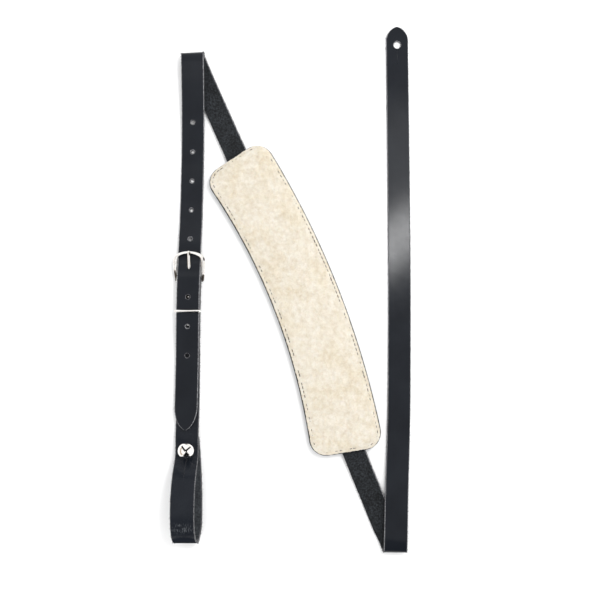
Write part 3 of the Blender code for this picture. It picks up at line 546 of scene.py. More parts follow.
def strap_section(half):
    """Place across, height and material index of each point round the section.

    The grain side, at +height, has soft shoulders. The flesh side is crisp.
    """
    flat = max(half - EDGE_ROUND, half * 0.5)
    round_in = half - flat
    near = flat - 0.35 * MM if half > 2 * EDGE_ROUND + 0.35 * MM else flat * 0.9
    evenly = [near * (1 - 2 * k / 6) for k in range(7)]
    shoulder = []
    for a in (math.radians(35), math.radians(65)):
        shoulder.append((flat + round_in * math.sin(a), HALF_THICK - EDGE_ROUND * (1 - math.cos(a))))
    rows = [(across, HALF_THICK, GRAIN) for across in (flat, *evenly, -flat)]
    rows += [(-across, height, EDGE) for across, height in shoulder]
    rows += [(-half, 0.15 * MM, EDGE), (-half, -HALF_THICK + 0.25 * MM, EDGE)]
    rows.append((-half + round_in * 0.4, -HALF_THICK, FLESH))
    rows += [(-across, -HALF_THICK, FLESH) for across in evenly]
    rows.append((half - round_in * 0.4, -HALF_THICK, EDGE))
    rows += [(half, -HALF_THICK + 0.25 * MM, EDGE), (half, 0.15 * MM, EDGE)]
    rows += [(across, height, EDGE) for across, height in reversed(shoulder)]
    return rows


def nicked(place, height, distance):
    """A place on the cut edge, moved a little because the knife leaves it uneven."""
    seed = Vector((distance * 260, math.copysign(3.0, place), 0))
    nick = 0.12 * (noise.noise(seed) - 0.4) + 0.14 * noise.noise(seed * 5 + Vector((0, 0, height / MM)))
    return place + math.copysign(nick * MM, place)


def leather_strap(name, route, grain_side, start_taper, end_taper, materials):
    """Lofts the section along the route. grain_side is 1 or -1, with the grain on the normal's side at 1."""
    lengths = arc_lengths([point for point, _ in route])
    stations = add_tip_stations(route, lengths, start_taper, end_taper)
    bm = bmesh.new()
    rings = []
    for i, (distance, (point, turn)) in enumerate(stations):
        before = stations[max(i - 1, 0)][1][0]
        after = stations[min(i + 1, len(stations) - 1)][1][0]
        across = heading(turn)
        normal = across.cross((after - before).normalized()).normalized() * grain_side
        half = half_width(distance, lengths[-1], start_taper, end_taper)
        ring = []
        for place, height, _ in strap_section(half):
            if abs(place) > half * 0.97:
                place = nicked(place, height, distance)
            ring.append(bm.verts.new(point + across * place + normal * height))
        rings.append(ring)
    kinds = [kind for _, _, kind in strap_section(STRAP_WIDTH / 2)]
    sides = [EDGE if after == EDGE else here for here, after in zip(kinds, kinds[1:] + kinds[:1])]
    for cap in loft(bm, rings, sides):
        cap.material_index = EDGE
    return mesh_object(name, bm, materials, 50)


def add_tip_stations(route, lengths, start_taper, end_taper):
    """Puts closer stations into the round tips, so that they look round."""
    total = lengths[-1]
    stations = list(zip(lengths, route))
    for taper, from_end in ((start_taper, False), (end_taper, True)):
        for k in range(1, 25 if taper else 0):
            reach = taper * (1 - math.cos(math.pi / 2 * k / 24))
            distance = total - reach if from_end else reach
            point, _ = along(route, distance)
            nearest = min(stations, key=lambda row: abs(row[0] - distance))
            if abs(nearest[0] - distance) > 0.05 * MM:
                stations.append((distance, (point, nearest[1][1])))
    stations.sort(key=lambda row: row[0])
    return stations


def punch(bm, centre, axis, radius, reach, sides=28, choke=0.0):
    """A punch with a flared shoulder at both faces, so that the rim is rounded. choke narrows its low end."""
    flare = 0.3 * MM
    low_radius = radius - choke
    profile = (
        (low_radius + flare, -reach), (low_radius + flare, -HALF_THICK), (low_radius, -HALF_THICK + flare),
        (radius, HALF_THICK - flare), (radius + flare, HALF_THICK), (radius + flare, reach),
    )
    turn = Vector((0, 0, 1)).rotation_difference(Vector(axis)).to_matrix()
    rings = []
    for r, height in profile:
        points = [Vector((r * math.cos(a), r * math.sin(a), height)) for a in angles(sides)]
        rings.append([bm.verts.new(centre + turn @ point) for point in points])
    loft(bm, rings)


def knife(bm, low, high):
    """A box between two corners."""
    size = Matrix.Diagonal((*(high - low), 1.0))
    bmesh.ops.create_cube(bm, size=1.0, matrix=Matrix.Translation((low + high) / 2) @ size)


def cut_out(obj, cutters, edge_material):
    """Cuts the shapes in the cutters' mesh out of the piece, and gives the walls the cut edge's look."""
    combine(obj, mesh_object(obj.name + "_cutter", cutters, [edge_material]), "DIFFERENCE")


def combine(obj, tool, operation):
    """Joins the tool to the piece or cuts it out, and removes the tool."""
    modifier = obj.modifiers.new("boolean", "BOOLEAN")
    modifier.operation = operation
    modifier.solver = "EXACT"
    modifier.material_mode = "TRANSFER"
    modifier.object = tool
    apply_modifiers(obj)
    bpy.data.objects.remove(tool, do_unlink=True)


def closed_smooth(points, steps):
    """A closed Catmull-Rom curve through the points, with this many steps in each span."""
    rows = [Vector(point) for point in points]
    count = len(rows)
    out = []
    for i in range(count):
        p0, p1, p2, p3 = (rows[(i + k - 1) % count] for k in range(4))
        for k in range(steps):
            t = k / steps
            square = (2 * p0 - 5 * p1 + 4 * p2 - p3) * t**2
            cube = (3 * p1 - p0 - 3 * p2 + p3) * t**3
            out.append((2 * p1 + (p2 - p0) * t + square + cube) / 2)
    return out


def tube(bm, points, radii, closed, sides=12, flatten=1.0, up=Vector((0, 0, 1)), groove=0.0):
    """A tube along points, its section squeezed along up by flatten, with a shallow groove on its up side."""
    count = len(points)
    rings = []
    for i, (point, radius) in enumerate(zip(points, radii)):
        ahead = points[(i + 1) % count if closed else min(i + 1, count - 1)]
        behind = points[i - 1 if closed else max(i - 1, 0)]
        direction = (ahead - behind).normalized()
        side = direction.cross(up)
        side = side.normalized() if side.length > 1e-6 else Vector((1, 0, 0))
        top = side.cross(direction).normalized()
        ring = []
        for a in angles(sides):
            sunk = 1 - groove * math.exp(-((a - math.pi / 2) / 0.3) ** 2)
            offset = side * (radius * math.cos(a)) + top * (radius * flatten * sunk * math.sin(a))
            ring.append(bm.verts.new(point + offset))
        rings.append(ring)
    loft(bm, [*rings, rings[0]] if closed else rings, capped=not closed)


def turned(name, profile, location, materials, steps=48):
    """A turned solid from (radius, height) rows, top of the axis to the bottom."""
    x, y, z = location
    bm = bmesh.new()
    rings = []
    for radius, height in profile:
        ring = [(radius * math.cos(a), radius * math.sin(a)) for a in angles(steps if radius > 1e-7 else 1)]
        rings.append([bm.verts.new((x + across, y + ahead, z + height)) for across, ahead in ring])
    for low, high in zip(rings, rings[1:]):
        for k in range(steps):
            corners = [low[k % len(low)], low[(k + 1) % len(low)]]
            corners += [high[(k + 1) % len(high)], high[k % len(high)]]
            bm.faces.new(list(dict.fromkeys(corners)))
    return mesh_object(name, bm, materials)


# Leather straps


def make_main_strap(leathers):
    """The main strap with its billet holes, the tongue's hole, and the keyhole with its slit."""
    route = smooth_route(MAIN_ROUTE)
    strap = leather_strap("main_strap_leather", route, 1, BILLET_TAPER, TIP_TAPER, leathers)
    cutters = bmesh.new()
    tongue_hole = distance_at_y(route, HEEL.y + TONGUE_HOLE_FROM_HEEL)
    for k in (*range(-HOLES_TOWARDS_TIP, 0), *range(1, HOLES_TOWARDS_FOLD + 1)):
        spacing = SPACING_TOWARDS_FOLD if k > 0 else SPACING_TOWARDS_TIP
        point, normal = along(route, tongue_hole + k * spacing)
        choke = HOLE_CHOKE if k in CHOKED_HOLES else 0.0
        punch(cutters, point, normal, HOLE_RADIUS - 0.1 * MM, 4 * MM, choke=choke)
    # The tongue's hole lies along the tongue, a little steeper where the leather rises.
    axis = Vector((0, math.cos(TONGUE_TILT + 0.04), math.sin(TONGUE_TILT + 0.04)))
    punch(cutters, HEEL + axis * 11.3 * MM, axis, TONGUE_RADIUS + 0.45 * MM, 6.5 * MM)
    punch(cutters, KEYHOLE, (0, 0, 1), KEYHOLE_RADIUS - 0.1 * MM, 4 * MM, 40)
    cut_out(strap, cutters, leathers[EDGE])
    low = KEYHOLE + Vector((-SLIT_HALF_WIDTH, -KEYHOLE_RADIUS - KEYHOLE_SLIT, -4 * MM))
    high = KEYHOLE + Vector((SLIT_HALF_WIDTH, -KEYHOLE_RADIUS * 0.9, 4 * MM))
    cut_boxes(strap, leathers, (low, high))
    return stands_for(strap, "strap", "leather", "main_strap")


def cut_boxes(piece, leathers, *boxes):
    """Cuts boxes, each given by two corners, out of the leather."""
    cutters = bmesh.new()
    for low, high in boxes:
        knife(cutters, low, high)
    cut_out(piece, cutters, leathers[EDGE])


def cut_bores(piece, leathers, *bores):
    """Cuts plain bores, each a centre, a radius and half a length, out of the leather."""
    cutters = bmesh.new()
    for bore in bores:
        plain_bore(cutters, *bore)
    cut_out(piece, cutters, leathers[EDGE])


def turn_around_heel():
    """Knots of the turn-back's half circle round the heel bar, from below to above."""
    radius = HEEL.z - HALF_THICK
    steps = 8
    knots = []
    for k in range(steps + 1):
        angle = math.radians(-90 + 180 * k / steps)
        y = (HEEL.y + radius * math.cos(angle)) / MM
        z = (HEEL.z + radius * math.sin(angle)) / MM
        knots.append((HEEL.x / MM, y, z, -1))
    return tuple(knots)


def make_loop_strap(leathers):
    """The loop strap, with room for the tongue, the stud's slit, and the bores and pockets of its rivets."""
    knots = LOOP_ROUTE_TO_HEEL + turn_around_heel() + LOOP_ROUTE_FROM_HEEL
    strap = leather_strap("loop_strap_leather", smooth_route(knots), -1, 0.0, 0.0, leathers)
    crease_loop(strap)
    low = HEEL + Vector((-TONGUE_SLOT_WIDTH / 2, -5.5 * MM, -6 * MM))
    cut_boxes(strap, leathers, (low, HEEL + Vector((TONGUE_SLOT_WIDTH / 2, 6 * MM, 6 * MM))))
    low = STUD + Vector((-SLIT_HALF_WIDTH, -LOOP_SLIT, 3.2 * MM))
    cut_boxes(strap, leathers, (low, STUD + Vector((SLIT_HALF_WIDTH, -3.5 * MM, 25.5 * MM))))
    bores = [(Vector((KEEPER.x, y, 3 * MM)), 1.75 * MM, 6 * MM) for y in CHAPE_RIVETS_Y]
    stud_bore = (STUD + Vector((0, 0, 7 * MM)), STUD_NECK + 1.2 * MM, 4 * MM)
    cut_bores(strap, leathers, *bores, stud_bore, (STUD, 1.8 * MM, 3.5 * MM))
    pockets = [(Vector((KEEPER.x, y, 0)), 3.5 * MM, 0.95 * MM) for y in CHAPE_RIVETS_Y]
    cut_bores(strap, leathers, *pockets, (STUD, 4.3 * MM, 1.3 * MM))
    return stands_for(strap, "strap", "leather", "loop_strap")


def plain_bore(bm, centre, radius, half_length):
    """An upright cylinder."""
    matrix = Matrix.Translation(centre)
    bmesh.ops.create_cone(
        bm, cap_ends=True, segments=32, radius1=radius, radius2=radius, depth=2 * half_length, matrix=matrix
    )


def crease_loop(strap):
    """Fine transverse wrinkles where the loop has been bent, as real relief."""
    for vert in strap.data.vertices:
        x, y, z = vert.co / MM
        if z < 14 or y > -188:
            continue
        strength = math.exp(-((y + 203) / 5.5) ** 2)
        ridge = noise.noise(Vector((x * 0.35, y * 1.9, z * 1.9)))
        ridge += 0.5 * noise.noise(Vector((x, y * 4, z * 4)))
        vert.co.z += 0.22 * MM * strength * ridge


def make_edge_fibres(straps, dark, pale):
    """Short broken fibres that stand out of the raw cut edges."""
    random.seed(5)
    spots = []
    for strap in straps:
        for face in strap.data.polygons:
            if face.material_index == EDGE and abs(face.normal.z) < 0.5 and face.area > 0.1 * MM * MM:
                spots.append((face.center.copy(), face.normal.copy()))
    bm = bmesh.new()
    for start, outward in random.sample(spots, min(len(spots), 4200)):
        start += Vector([random.uniform(-most, most) for most in (0.6, 0.6, 0.4)]) * MM
        lean = (outward + 0.8 * Vector(random.uniform(-1, 1) for _ in range(3))).normalized()
        droop = Vector(random.uniform(-1, 1) for _ in range(3)) * 0.12 * MM
        length = random.uniform(0.3, 0.9) * MM
        points = [start - lean * 0.5 * MM, start + lean * length * 0.5, start + lean * length + droop]
        if min(point.z for point in points) < 0.05 * MM:
            continue
        before = len(bm.faces)
        tube(bm, points, [0.10 * MM, 0.08 * MM, 0.04 * MM], False, 3)
        bm.faces.ensure_lookup_table()
        kind = 1 if random.random() < 0.35 else 0
        for k in range(before, len(bm.faces)):
            bm.faces[k].material_index = kind
    fibres = mesh_object("edge_fibres", bm, [dark, pale], 180)
    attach(fibres, "strap")


# Hardware


def wire_loop(centre, half, slope, **section):
    """A closed wire through half's (across, along, radius) rows in mm and their mirror image.

    slope is the cosine and sine of the angle of the loop's plane. section is what tube takes.
    """
    other_half = [(-x, y, r) for x, y, r in half[-2:0:-1]]
    rows = closed_smooth([*half, *other_half], 6)
    points = [centre + Vector((x, y * slope[0], y * slope[1])) * MM for x, y, _ in rows]
    bm = bmesh.new()
    tube(bm, points, [r * MM for _, _, r in rows], True, **section)
    return bm


def make_buckle(nickel):
    """Cast frame, thicker and a little bowed at its front, in one with its heel bar."""
    half = (
        (0.0, 0.0, 1.0), (5.0, 0.0, 1.0), (9.8, 0.0, 1.0), (11.2, 0.6, 1.1), (11.4, 2.4, 1.15),
        (11.7, 8.0, 1.5), (12.0, 14.0, 1.75), (11.85, 17.6, 1.8), (10.8, 20.5, 1.65), (8.5, 22.5, 1.45),
        (4.6, 24.0, 1.3), (0.0, BUCKLE_LENGTH, 1.2),
    )
    slope = math.cos(BUCKLE_TILT), math.sin(BUCKLE_TILT)
    normal = Vector((0, -slope[1], slope[0]))
    bm = wire_loop(HEEL, half, slope, sides=32, flatten=0.92, up=normal, groove=0.16)
    frame_piece = mesh_object("buckle_frame_cast", bm, [nickel])
    return stands_for(frame_piece, "buckle", "nickel", "buckle_frame")


def make_tongue(nickel):
    """Flattened wire with a rounded tip, and the ring that turns on the heel bar."""
    direction = Vector((0, math.cos(TONGUE_TILT), math.sin(TONGUE_TILT)))
    normal = Vector((0, -math.sin(TONGUE_TILT), math.cos(TONGUE_TILT)))
    rows = (
        (TONGUE_RING_RADIUS, 0.9), (4 * MM, 0.97), (8 * MM, 1.0), (14 * MM, 0.98), (20 * MM, 0.95),
        (TONGUE_LENGTH - 1.6 * MM, 0.9), (TONGUE_LENGTH - 0.8 * MM, 0.82), (TONGUE_LENGTH - 0.25 * MM, 0.6),
        (TONGUE_LENGTH, 0.25),
    )
    wire = bmesh.new()
    points = [HEEL + direction * distance for distance, _ in rows]
    tube(wire, points, [TONGUE_RADIUS * 1.12 * r for _, r in rows], False, 24, 0.66, normal)
    ring = [HEEL + Vector((0, math.cos(a), math.sin(a))) * TONGUE_RING_RADIUS for a in angles(36)]
    hoop = bmesh.new()
    tube(hoop, ring, [TONGUE_RING_WIRE] * 36, True, 12, 1.0, Vector((1, 0, 0)))
    tongue = mesh_object("buckle_tongue_wire", wire, [nickel])
    combine(tongue, mesh_object("buckle_tongue_eye", hoop, [nickel]), "UNION")
    return stands_for(tongue, "tongue", "nickel", "buckle_tongue")


def make_keeper(nickel):
    """Wire loop, thicker at its top run."""
    half = (
        (0.0, 3.6, 0.85), (6.0, 3.6, 0.85), (9.8, 3.6, 0.8), (10.7, 4.9, 0.7), (10.8, 7.2, 0.65),
        (10.8, 10.0, 0.7), (10.0, 11.6, 1.15), (7.4, 12.0, 1.15), (3.5, 12.45, 1.0), (0.0, 12.6, 0.95),
    )
    bm = wire_loop(KEEPER, half, (0.0, 1.0), sides=14, up=Vector((0, 1, 0)))
    keeper = mesh_object("strap_keeper_wire", bm, [nickel])
    return stands_for(keeper, "keeper", "nickel", "strap_keeper")


def rivet_profile(low, high, cap, post):
    """Flat cap below, post, and domed cap above, between two heights."""
    under_dome = high - 1.1 * MM
    over_foot = low + 0.7 * MM
    rim = cap - 0.1 * MM
    dome = []
    for k in range(11):
        r = cap * k / 10
        dome.append((r, under_dome + 0.15 * MM + 0.95 * MM * math.exp(-((r / (0.5 * cap)) ** 2))))
    return (
        *dome, (cap, under_dome + 0.12 * MM), (rim, under_dome), (post, under_dome), (post, over_foot),
        (rim, over_foot), (cap, over_foot - 0.1 * MM), (cap - 0.2 * MM, low), (0, low),
    )


def make_rivets(nickel):
    """All the rivets. Returns the two of the turn-back, which show through the billet's holes."""
    chape = []
    for name, y in zip(("chape_rivet_near", "chape_rivet_far"), CHAPE_RIVETS_Y):
        profile = rivet_profile(0.05 * MM, 7.1 * MM, 3.2 * MM, 1.4 * MM)
        rivet = turned(name + "_cap", profile, (KEEPER.x, y, 0), [nickel])
        stands_for(rivet, "strap", "nickel", name)
        chape.append(rivet)
    for k, spot in enumerate(tunnel_rivet_places()):
        profile = rivet_profile(1.85 * MM, 8.05 * MM, 2.9 * MM, 1.2 * MM)
        rivet = turned(f"pad_rivet_{k + 1}_cap", profile, (*spot, 0), [nickel], 32)
        stands_for(rivet, "pad", "nickel", f"pad_rivet_{k + 1}")
    return chape


def make_stud(nickel, steel):
    """The round-headed stud with its flange, and the slotted screw that holds it from below."""
    low = STRAP_THICK + 0.3 * MM
    high = low + 0.9 * MM
    head = [(0.0, STUD_BALL_HEIGHT + STUD_BALL_HALF_HEIGHT)]
    for k in range(1, 33):
        a = math.radians(90 - 155 * k / 32)
        head.append((STUD_BALL_RADIUS * math.cos(a), STUD_BALL_HEIGHT + STUD_BALL_HALF_HEIGHT * math.sin(a)))
    bore = 1.8 * MM
    profile = (
        *head, (STUD_NECK, STUD_BALL_HEIGHT - STUD_BALL_HALF_HEIGHT), (STUD_NECK, high + 0.3 * MM),
        (STUD_NECK + 0.4 * MM, high), (5.3 * MM, high - 0.1 * MM), (5.5 * MM, high - 0.3 * MM),
        (5.5 * MM, low), (bore, low), (bore, low + 5.5 * MM), (0, low + 5.5 * MM),
    )
    stands_for(turned("ball_stud_polished", profile, STUD, [nickel], 96), "strap", "nickel", "ball_stud")
    top = low + 5.0 * MM
    profile = (
        (0, top), (1.3 * MM, top), (1.5 * MM, top - 0.2 * MM), (1.5 * MM, 0.95 * MM), (3.8 * MM, 0.95 * MM),
        (3.9 * MM, 0.8 * MM), (3.9 * MM, 0.25 * MM), (3.7 * MM, 0.05 * MM), (0, 0.05 * MM),
    )
    screw = turned("stud_screw_slotted", profile, STUD, [steel], 40)
    slot = bmesh.new()
    knife(slot, STUD + Vector((-3.2, -0.45, -0.5)) * MM, STUD + Vector((3.2, 0.45, 0.45)) * MM)
    cut_out(screw, slot, steel)
    stands_for(screw, "strap", "steel", "stud_screw")


# Shoulder pad


def pad_point(u, v):
    """Maps a distance along the pad and one across it to the plane."""
    v *= 1 - (PAD_END_WIDTH - PAD_MIDDLE_WIDTH) / PAD_END_WIDTH * (1 - (2 * u / PAD_LENGTH) ** 2)
    angle = PAD_HEADING + u / PAD_ARC
    outward = Vector((math.cos(PAD_HEADING), math.sin(PAD_HEADING)))
    centre = PAD_MIDDLE - outward * PAD_ARC
    return centre + (PAD_ARC + v) * Vector((math.cos(angle), math.sin(angle)))


def edge_distance(u, v):
    """Distance from (u, v) in to the pad's outline, a rounded rectangle."""
    x = abs(u) - (PAD_LENGTH / 2 - PAD_CORNER)
    y = abs(v) - (PAD_END_WIDTH / 2 - PAD_CORNER)
    outside = math.hypot(max(x, 0.0), max(y, 0.0))
    return PAD_CORNER - outside - min(max(x, y), 0.0)


def across_limit(u, inset):
    """How far the outline, drawn in by the inset, reaches across at u."""
    half_v = PAD_END_WIDTH / 2 - inset
    radius = PAD_CORNER - inset
    over = abs(u) - (PAD_LENGTH / 2 - PAD_CORNER)
    if over <= 0:
        return half_v
    return half_v - radius + math.sqrt(max(radius**2 - over**2, 0.0))


def pad_grid(inset, rows, columns):
    """(u, v) points that fill the outline, closer together towards the two ends."""
    half_u = PAD_LENGTH / 2 - inset
    grid = []
    for i in range(rows + 1):
        s = 2 * i / rows - 1
        # Evenly spaced along the middle, and closer where the corners turn.
        u = half_u * (1.12 * s - 0.12 * s**3) if abs(s) < 1 else math.copysign(half_u, s)
        limit = across_limit(u, inset)
        grid.append([(u, limit * (2 * j / columns - 1)) for j in range(columns + 1)])
    return grid


def outline(inset, step):
    """Points along the outline, drawn in by the inset, about a step apart, anticlockwise in (u, v)."""
    half_u = PAD_LENGTH / 2 - inset
    half_v = PAD_END_WIDTH / 2 - inset
    radius = PAD_CORNER - inset
    points = []
    corners = ((1, -1, -90), (1, 1, 0), (-1, 1, 90), (-1, -1, 180))
    for n, (side_u, side_v, first) in enumerate(corners):
        centre = Vector((side_u * (half_u - radius), side_v * (half_v - radius)))
        turns = max(4, int(radius * math.pi / 2 / step))
        for k in range(turns + 1):
            a = math.radians(first + 90 * k / turns)
            points.append(centre + radius * Vector((math.cos(a), math.sin(a))))
        next_u, next_v, next_first = corners[(n + 1) % 4]
        a = math.radians(next_first)
        end = Vector((next_u * (half_u - radius), next_v * (half_v - radius)))
        end += radius * Vector((math.cos(a), math.sin(a)))
        start = points[-1]
        runs = max(1, int((end - start).length / step))
        points.extend(start.lerp(end, k / runs) for k in range(1, runs))
    return points


def pillow(distance):
    """Height of the stuffed face over the flange, by the distance in from the outline."""
    inside = max(distance - 0.4 * MM, 0.0)
    rise = 1 - math.exp(-inside / (3.6 * MM))
    broad = min(inside / (24 * MM), 1.0)
    return (FLEECE_CROWN - FLEECE_FLANGE) * (0.60 * rise + 0.22 * broad * (2 - broad))


def inflated_heights(grid):
    """Heights of the fleece face over the flange: a cloth sewn down at the seam and blown up a little."""
    flat = {}
    for i, row in enumerate(grid):
        for j, spot in enumerate(row):
            flat[i, j] = pillow(edge_distance(*spot))
    bm = bmesh.new()
    verts = {(i, j): bm.verts.new((*pad_point(*grid[i][j]), height)) for (i, j), height in flat.items()}
    for i in range(len(grid) - 1):
        for j in range(len(grid[0]) - 1):
            bm.faces.new((verts[i, j], verts[i + 1, j], verts[i + 1, j + 1], verts[i, j + 1]))
    sheet = mesh_object("fleece_cloth", bm, [])
    sewn = sheet.vertex_groups.new(name="sewn")
    for n, (i, j) in enumerate(flat):
        if edge_distance(*grid[i][j]) < SEAM_INSET + 0.4 * MM:
            sewn.add([n], 1.0, "ADD")
    mesh = blown_up(sheet)
    heights = {}
    for n, (key, height) in enumerate(flat.items()):
        heights[key] = min(max(mesh.vertices[n].co.z, height - MOST_SWELL), height + MOST_SWELL)
    bpy.data.objects.remove(sheet, do_unlink=True)
    bpy.data.meshes.remove(mesh)
    return heights


def blown_up(sheet):
    """The mesh of the sheet after a cloth simulation that presses it up from below."""
    cloth = sheet.modifiers.new("cloth", "CLOTH")
    cloth.settings.vertex_group_mass = "sewn"
    for name, value in CLOTH.items():
        setattr(cloth.settings, name, value)
    cloth.settings.effector_weights.gravity = 0
    cloth.point_cache.frame_start = 1
    cloth.point_cache.frame_end = CLOTH_FRAMES
    scene = bpy.context.scene
    for step in range(1, CLOTH_FRAMES + 1):
        scene.frame_set(step)
    graph = bpy.context.evaluated_depsgraph_get()
    mesh = bpy.data.meshes.new_from_object(sheet.evaluated_get(graph))
    scene.frame_set(1)
    return mesh


def clump(place):
    """Relief of the pile from -1 to 1: locks of wool 5 mm across, with curls on them."""
    p = place / MM
    near, _ = noise.voronoi(Vector((p.x / 5.2, p.y / 5.2, 3.7)))
    lock = 1 - min(near[0] * 1.7, 1.0) ** 1.5
    curl = noise.noise(p / 2.3 + Vector((9, 1, 5)))
    fine = noise.noise(p / 0.95 + Vector((1, 7, 2)))
    return 0.75 * (lock - 0.45) + 0.42 * curl + 0.22 * fine


def sample(heights, i, j):
    """Height at a place of the fine grid, between those of the coarse one."""
    x, y = i / FLEECE_FINER, j / FLEECE_FINER
    i0, j0 = min(int(x), FLEECE_ROWS - 1), min(int(y), FLEECE_COLUMNS - 1)
    fx, fy = x - i0, y - j0
    low = heights[i0, j0] * (1 - fy) + heights[i0, j0 + 1] * fy
    high = heights[i0 + 1, j0] * (1 - fy) + heights[i0 + 1, j0 + 1] * fy
    return low * (1 - fx) + high * fx


def fleece_point(u, v, height):
    """A point of the woolly face over (u, v), for its height over the flange without the wool."""
    place = pad_point(u, v)
    distance = edge_distance(u, v)
    relief = clump(Vector((place.x, place.y, 0.0)))
    pile = 0.95 * MM * min(1.0, 0.45 + distance / (9 * MM))
    groove = GROOVE * math.exp(-((distance - SEAM_INSET) / (1.1 * MM)) ** 2)
    edge = 0.9 * MM * max(1 - distance / (1.6 * MM), 0.0) ** 1.5
    z = FLEECE_LOW + FLEECE_FLANGE + height + relief * pile - groove - edge
    if distance < 1.2 * MM:
        # The pile's cut rim is ragged.
        rough = noise.noise_vector(Vector((place.x, place.y, 0)) * 700)
        place = place + 0.45 * MM * rough.xy
    return place.x, place.y, max(z, FLEECE_LOW + 0.5 * MM)


def make_fleece(wool):
    """The fleece as one closed piece: a thin flange, a sunk seam, and a crowned face of wool locks."""
    noise.seed_set(RIM_SEED)
    heights = inflated_heights(pad_grid(FLEECE_INSET, FLEECE_ROWS, FLEECE_COLUMNS))
    last_i, last_j = FLEECE_ROWS * FLEECE_FINER, FLEECE_COLUMNS * FLEECE_FINER
    bm = bmesh.new()
    top = {}
    for i, row in enumerate(pad_grid(FLEECE_INSET, last_i, last_j)):
        for j, (u, v) in enumerate(row):
            top[i, j] = bm.verts.new(fleece_point(u, v, sample(heights, i, j)))
    for i in range(last_i):
        for j in range(last_j):
            bm.faces.new((top[i, j], top[i + 1, j], top[i + 1, j + 1], top[i, j + 1]))
    rim = [top[i, 0] for i in range(last_i)] + [top[last_i, j] for j in range(last_j)]
    rim += [top[i, last_j] for i in range(last_i, 0, -1)] + [top[0, j] for j in range(last_j, 0, -1)]
    foot = [bm.verts.new((vert.co.x, vert.co.y, FLEECE_LOW)) for vert in rim]
    for k in range(len(rim)):
        n = (k + 1) % len(rim)
        bm.faces.new((rim[k], rim[n], foot[n], foot[k]))
    bm.faces.new(foot)
    fleece = mesh_object("fleece_pile", bm, [wool], 180)
    stands_for(fleece, "pad", "fleece", "pad_fleece")
    return fleece


def make_curls(fleece, wool):
    """Loose curled fibres that stand out of the pile, which soften its outline and its hollows."""
    random.seed(11)
    bm = bmesh.new()
    face = fleece.data
    spots = [p for p in face.polygons if p.normal.z > 0.15]
    for polygon in random.sample(spots, 7000):
        start = polygon.center.copy()
        lean = Vector((random.uniform(-1, 1), random.uniform(-1, 1), 0.9)).normalized()
        side = lean.cross(Vector((0, 0, 1))).normalized()
        other = lean.cross(side)
        length = random.uniform(1.0, 2.1) * MM
        spin = random.uniform(0, 2 * math.pi)
        turns = random.uniform(2.5, 5.0)
        points = []
        for k in range(5):
            t = k / 4
            a = spin + turns * t
            bend = side * math.cos(a) + other * math.sin(a)
            points.append(start + lean * (length * (t - 0.12)) + bend * (0.32 * MM * t))
        radii = [0.10 * MM * (1 - 0.7 * k / 4) for k in range(5)]
        tube(bm, points, radii, False, 3)
    curls = mesh_object("fleece_curls", bm, [wool], 180)
    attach(curls, "pad")
    return curls


def make_backing(leathers):
    """The leather under the fleece, grain side down, its cut edge showing round the pad."""
    rings = (
        (0.45, BACKING_LOW), (0.12, BACKING_LOW + 0.15 * MM), (0.0, BACKING_LOW + 0.45 * MM),
        (0.0, BACKING_LOW + BACKING_THICK - 0.3 * MM), (0.2, BACKING_LOW + BACKING_THICK),
    )
    bm = bmesh.new()
    rows = []
    for inset, z in rings:
        rows.append([bm.verts.new((*pad_point(*p), z)) for p in outline(inset * MM, 1.5 * MM)])
    _, top = loft(bm, rows)
    top.material_index = FLESH
    bmesh.ops.triangulate(bm, faces=[f for f in bm.faces if len(f.verts) > 4])
    backing = mesh_object("pad_backing_leather", bm, leathers, 40)
    bores = [(Vector((*spot, BACKING_LOW)), 1.5 * MM, 6 * MM) for spot in tunnel_rivet_places()]
    cut_bores(backing, leathers, *bores)
    return stands_for(backing, "pad", "leather", "pad_backing")


def make_seam(thread_material):
    """Single stitches on both faces, each dipping into the leather or the fleece at its ends."""
    path = outline(SEAM_INSET, 0.25 * MM)
    lengths = arc_lengths([*path, path[0]])
    count = round(lengths[-1] / (STITCH + STITCH_GAP))
    pitch = lengths[-1] / count
    bm = bmesh.new()
    surface = FLEECE_LOW + FLEECE_FLANGE + pillow(SEAM_INSET) - GROOVE - THREAD_SUNK
    for n in range(count):
        upper, lower = [], []
        for k in range(7):
            t = k / 6
            x, y = pad_point(*spot_on(path, lengths, (n * pitch + STITCH * t) % lengths[-1]))
            arch = math.sin(math.pi * t)
            # The wool hides some stitches and leaves others in sight.
            rise = 0.9 * MM * noise.noise(Vector((x, y, 0)) * 160)
            upper.append(Vector((x, y, surface + rise + 0.55 * MM * arch**0.5 - 0.25 * MM)))
            lower.append(Vector((x, y, BACKING_LOW + THREAD_RADIUS * 0.3 + 0.3 * MM * (1 - arch**0.5))))
        radii = [THREAD_RADIUS * r for r in (0.7, 0.95, 1.0, 1.0, 1.0, 0.95, 0.7)]
        tube(bm, upper, radii, False, 8)
        tube(bm, lower, [r * 0.75 for r in radii], False, 8)
    seam = mesh_object("seam_stitches", bm, [thread_material])
    return stands_for(seam, "pad", "thread", "pad_thread")


def spot_on(path, lengths, distance):
    """The point at a distance along a closed path."""
    i = int(np.searchsorted(lengths, distance, side="right")) - 1
    i = min(max(i, 0), len(path) - 1)
    a, b = path[i], path[(i + 1) % len(path)]
    return a.lerp(b, (distance - lengths[i]) / max(lengths[i + 1] - lengths[i], 1e-9))


def tunnel_centre(distance):
    """The point of the strap's middle line at a distance from the middle of the pad."""
    return STRAP_MIDDLE + Vector((-math.sin(STRAP_HEADING), math.cos(STRAP_HEADING))) * distance


def tunnel_rivet_places():
    """Places of the four tunnel rivets, in the plane."""
    across = Vector((math.cos(STRAP_HEADING), math.sin(STRAP_HEADING)))
    places = []
    for distance in TUNNELS.values():
        places += [tunnel_centre(distance) + across * side * TUNNEL_RIVET_ACROSS for side in (-1, 1)]
    return places


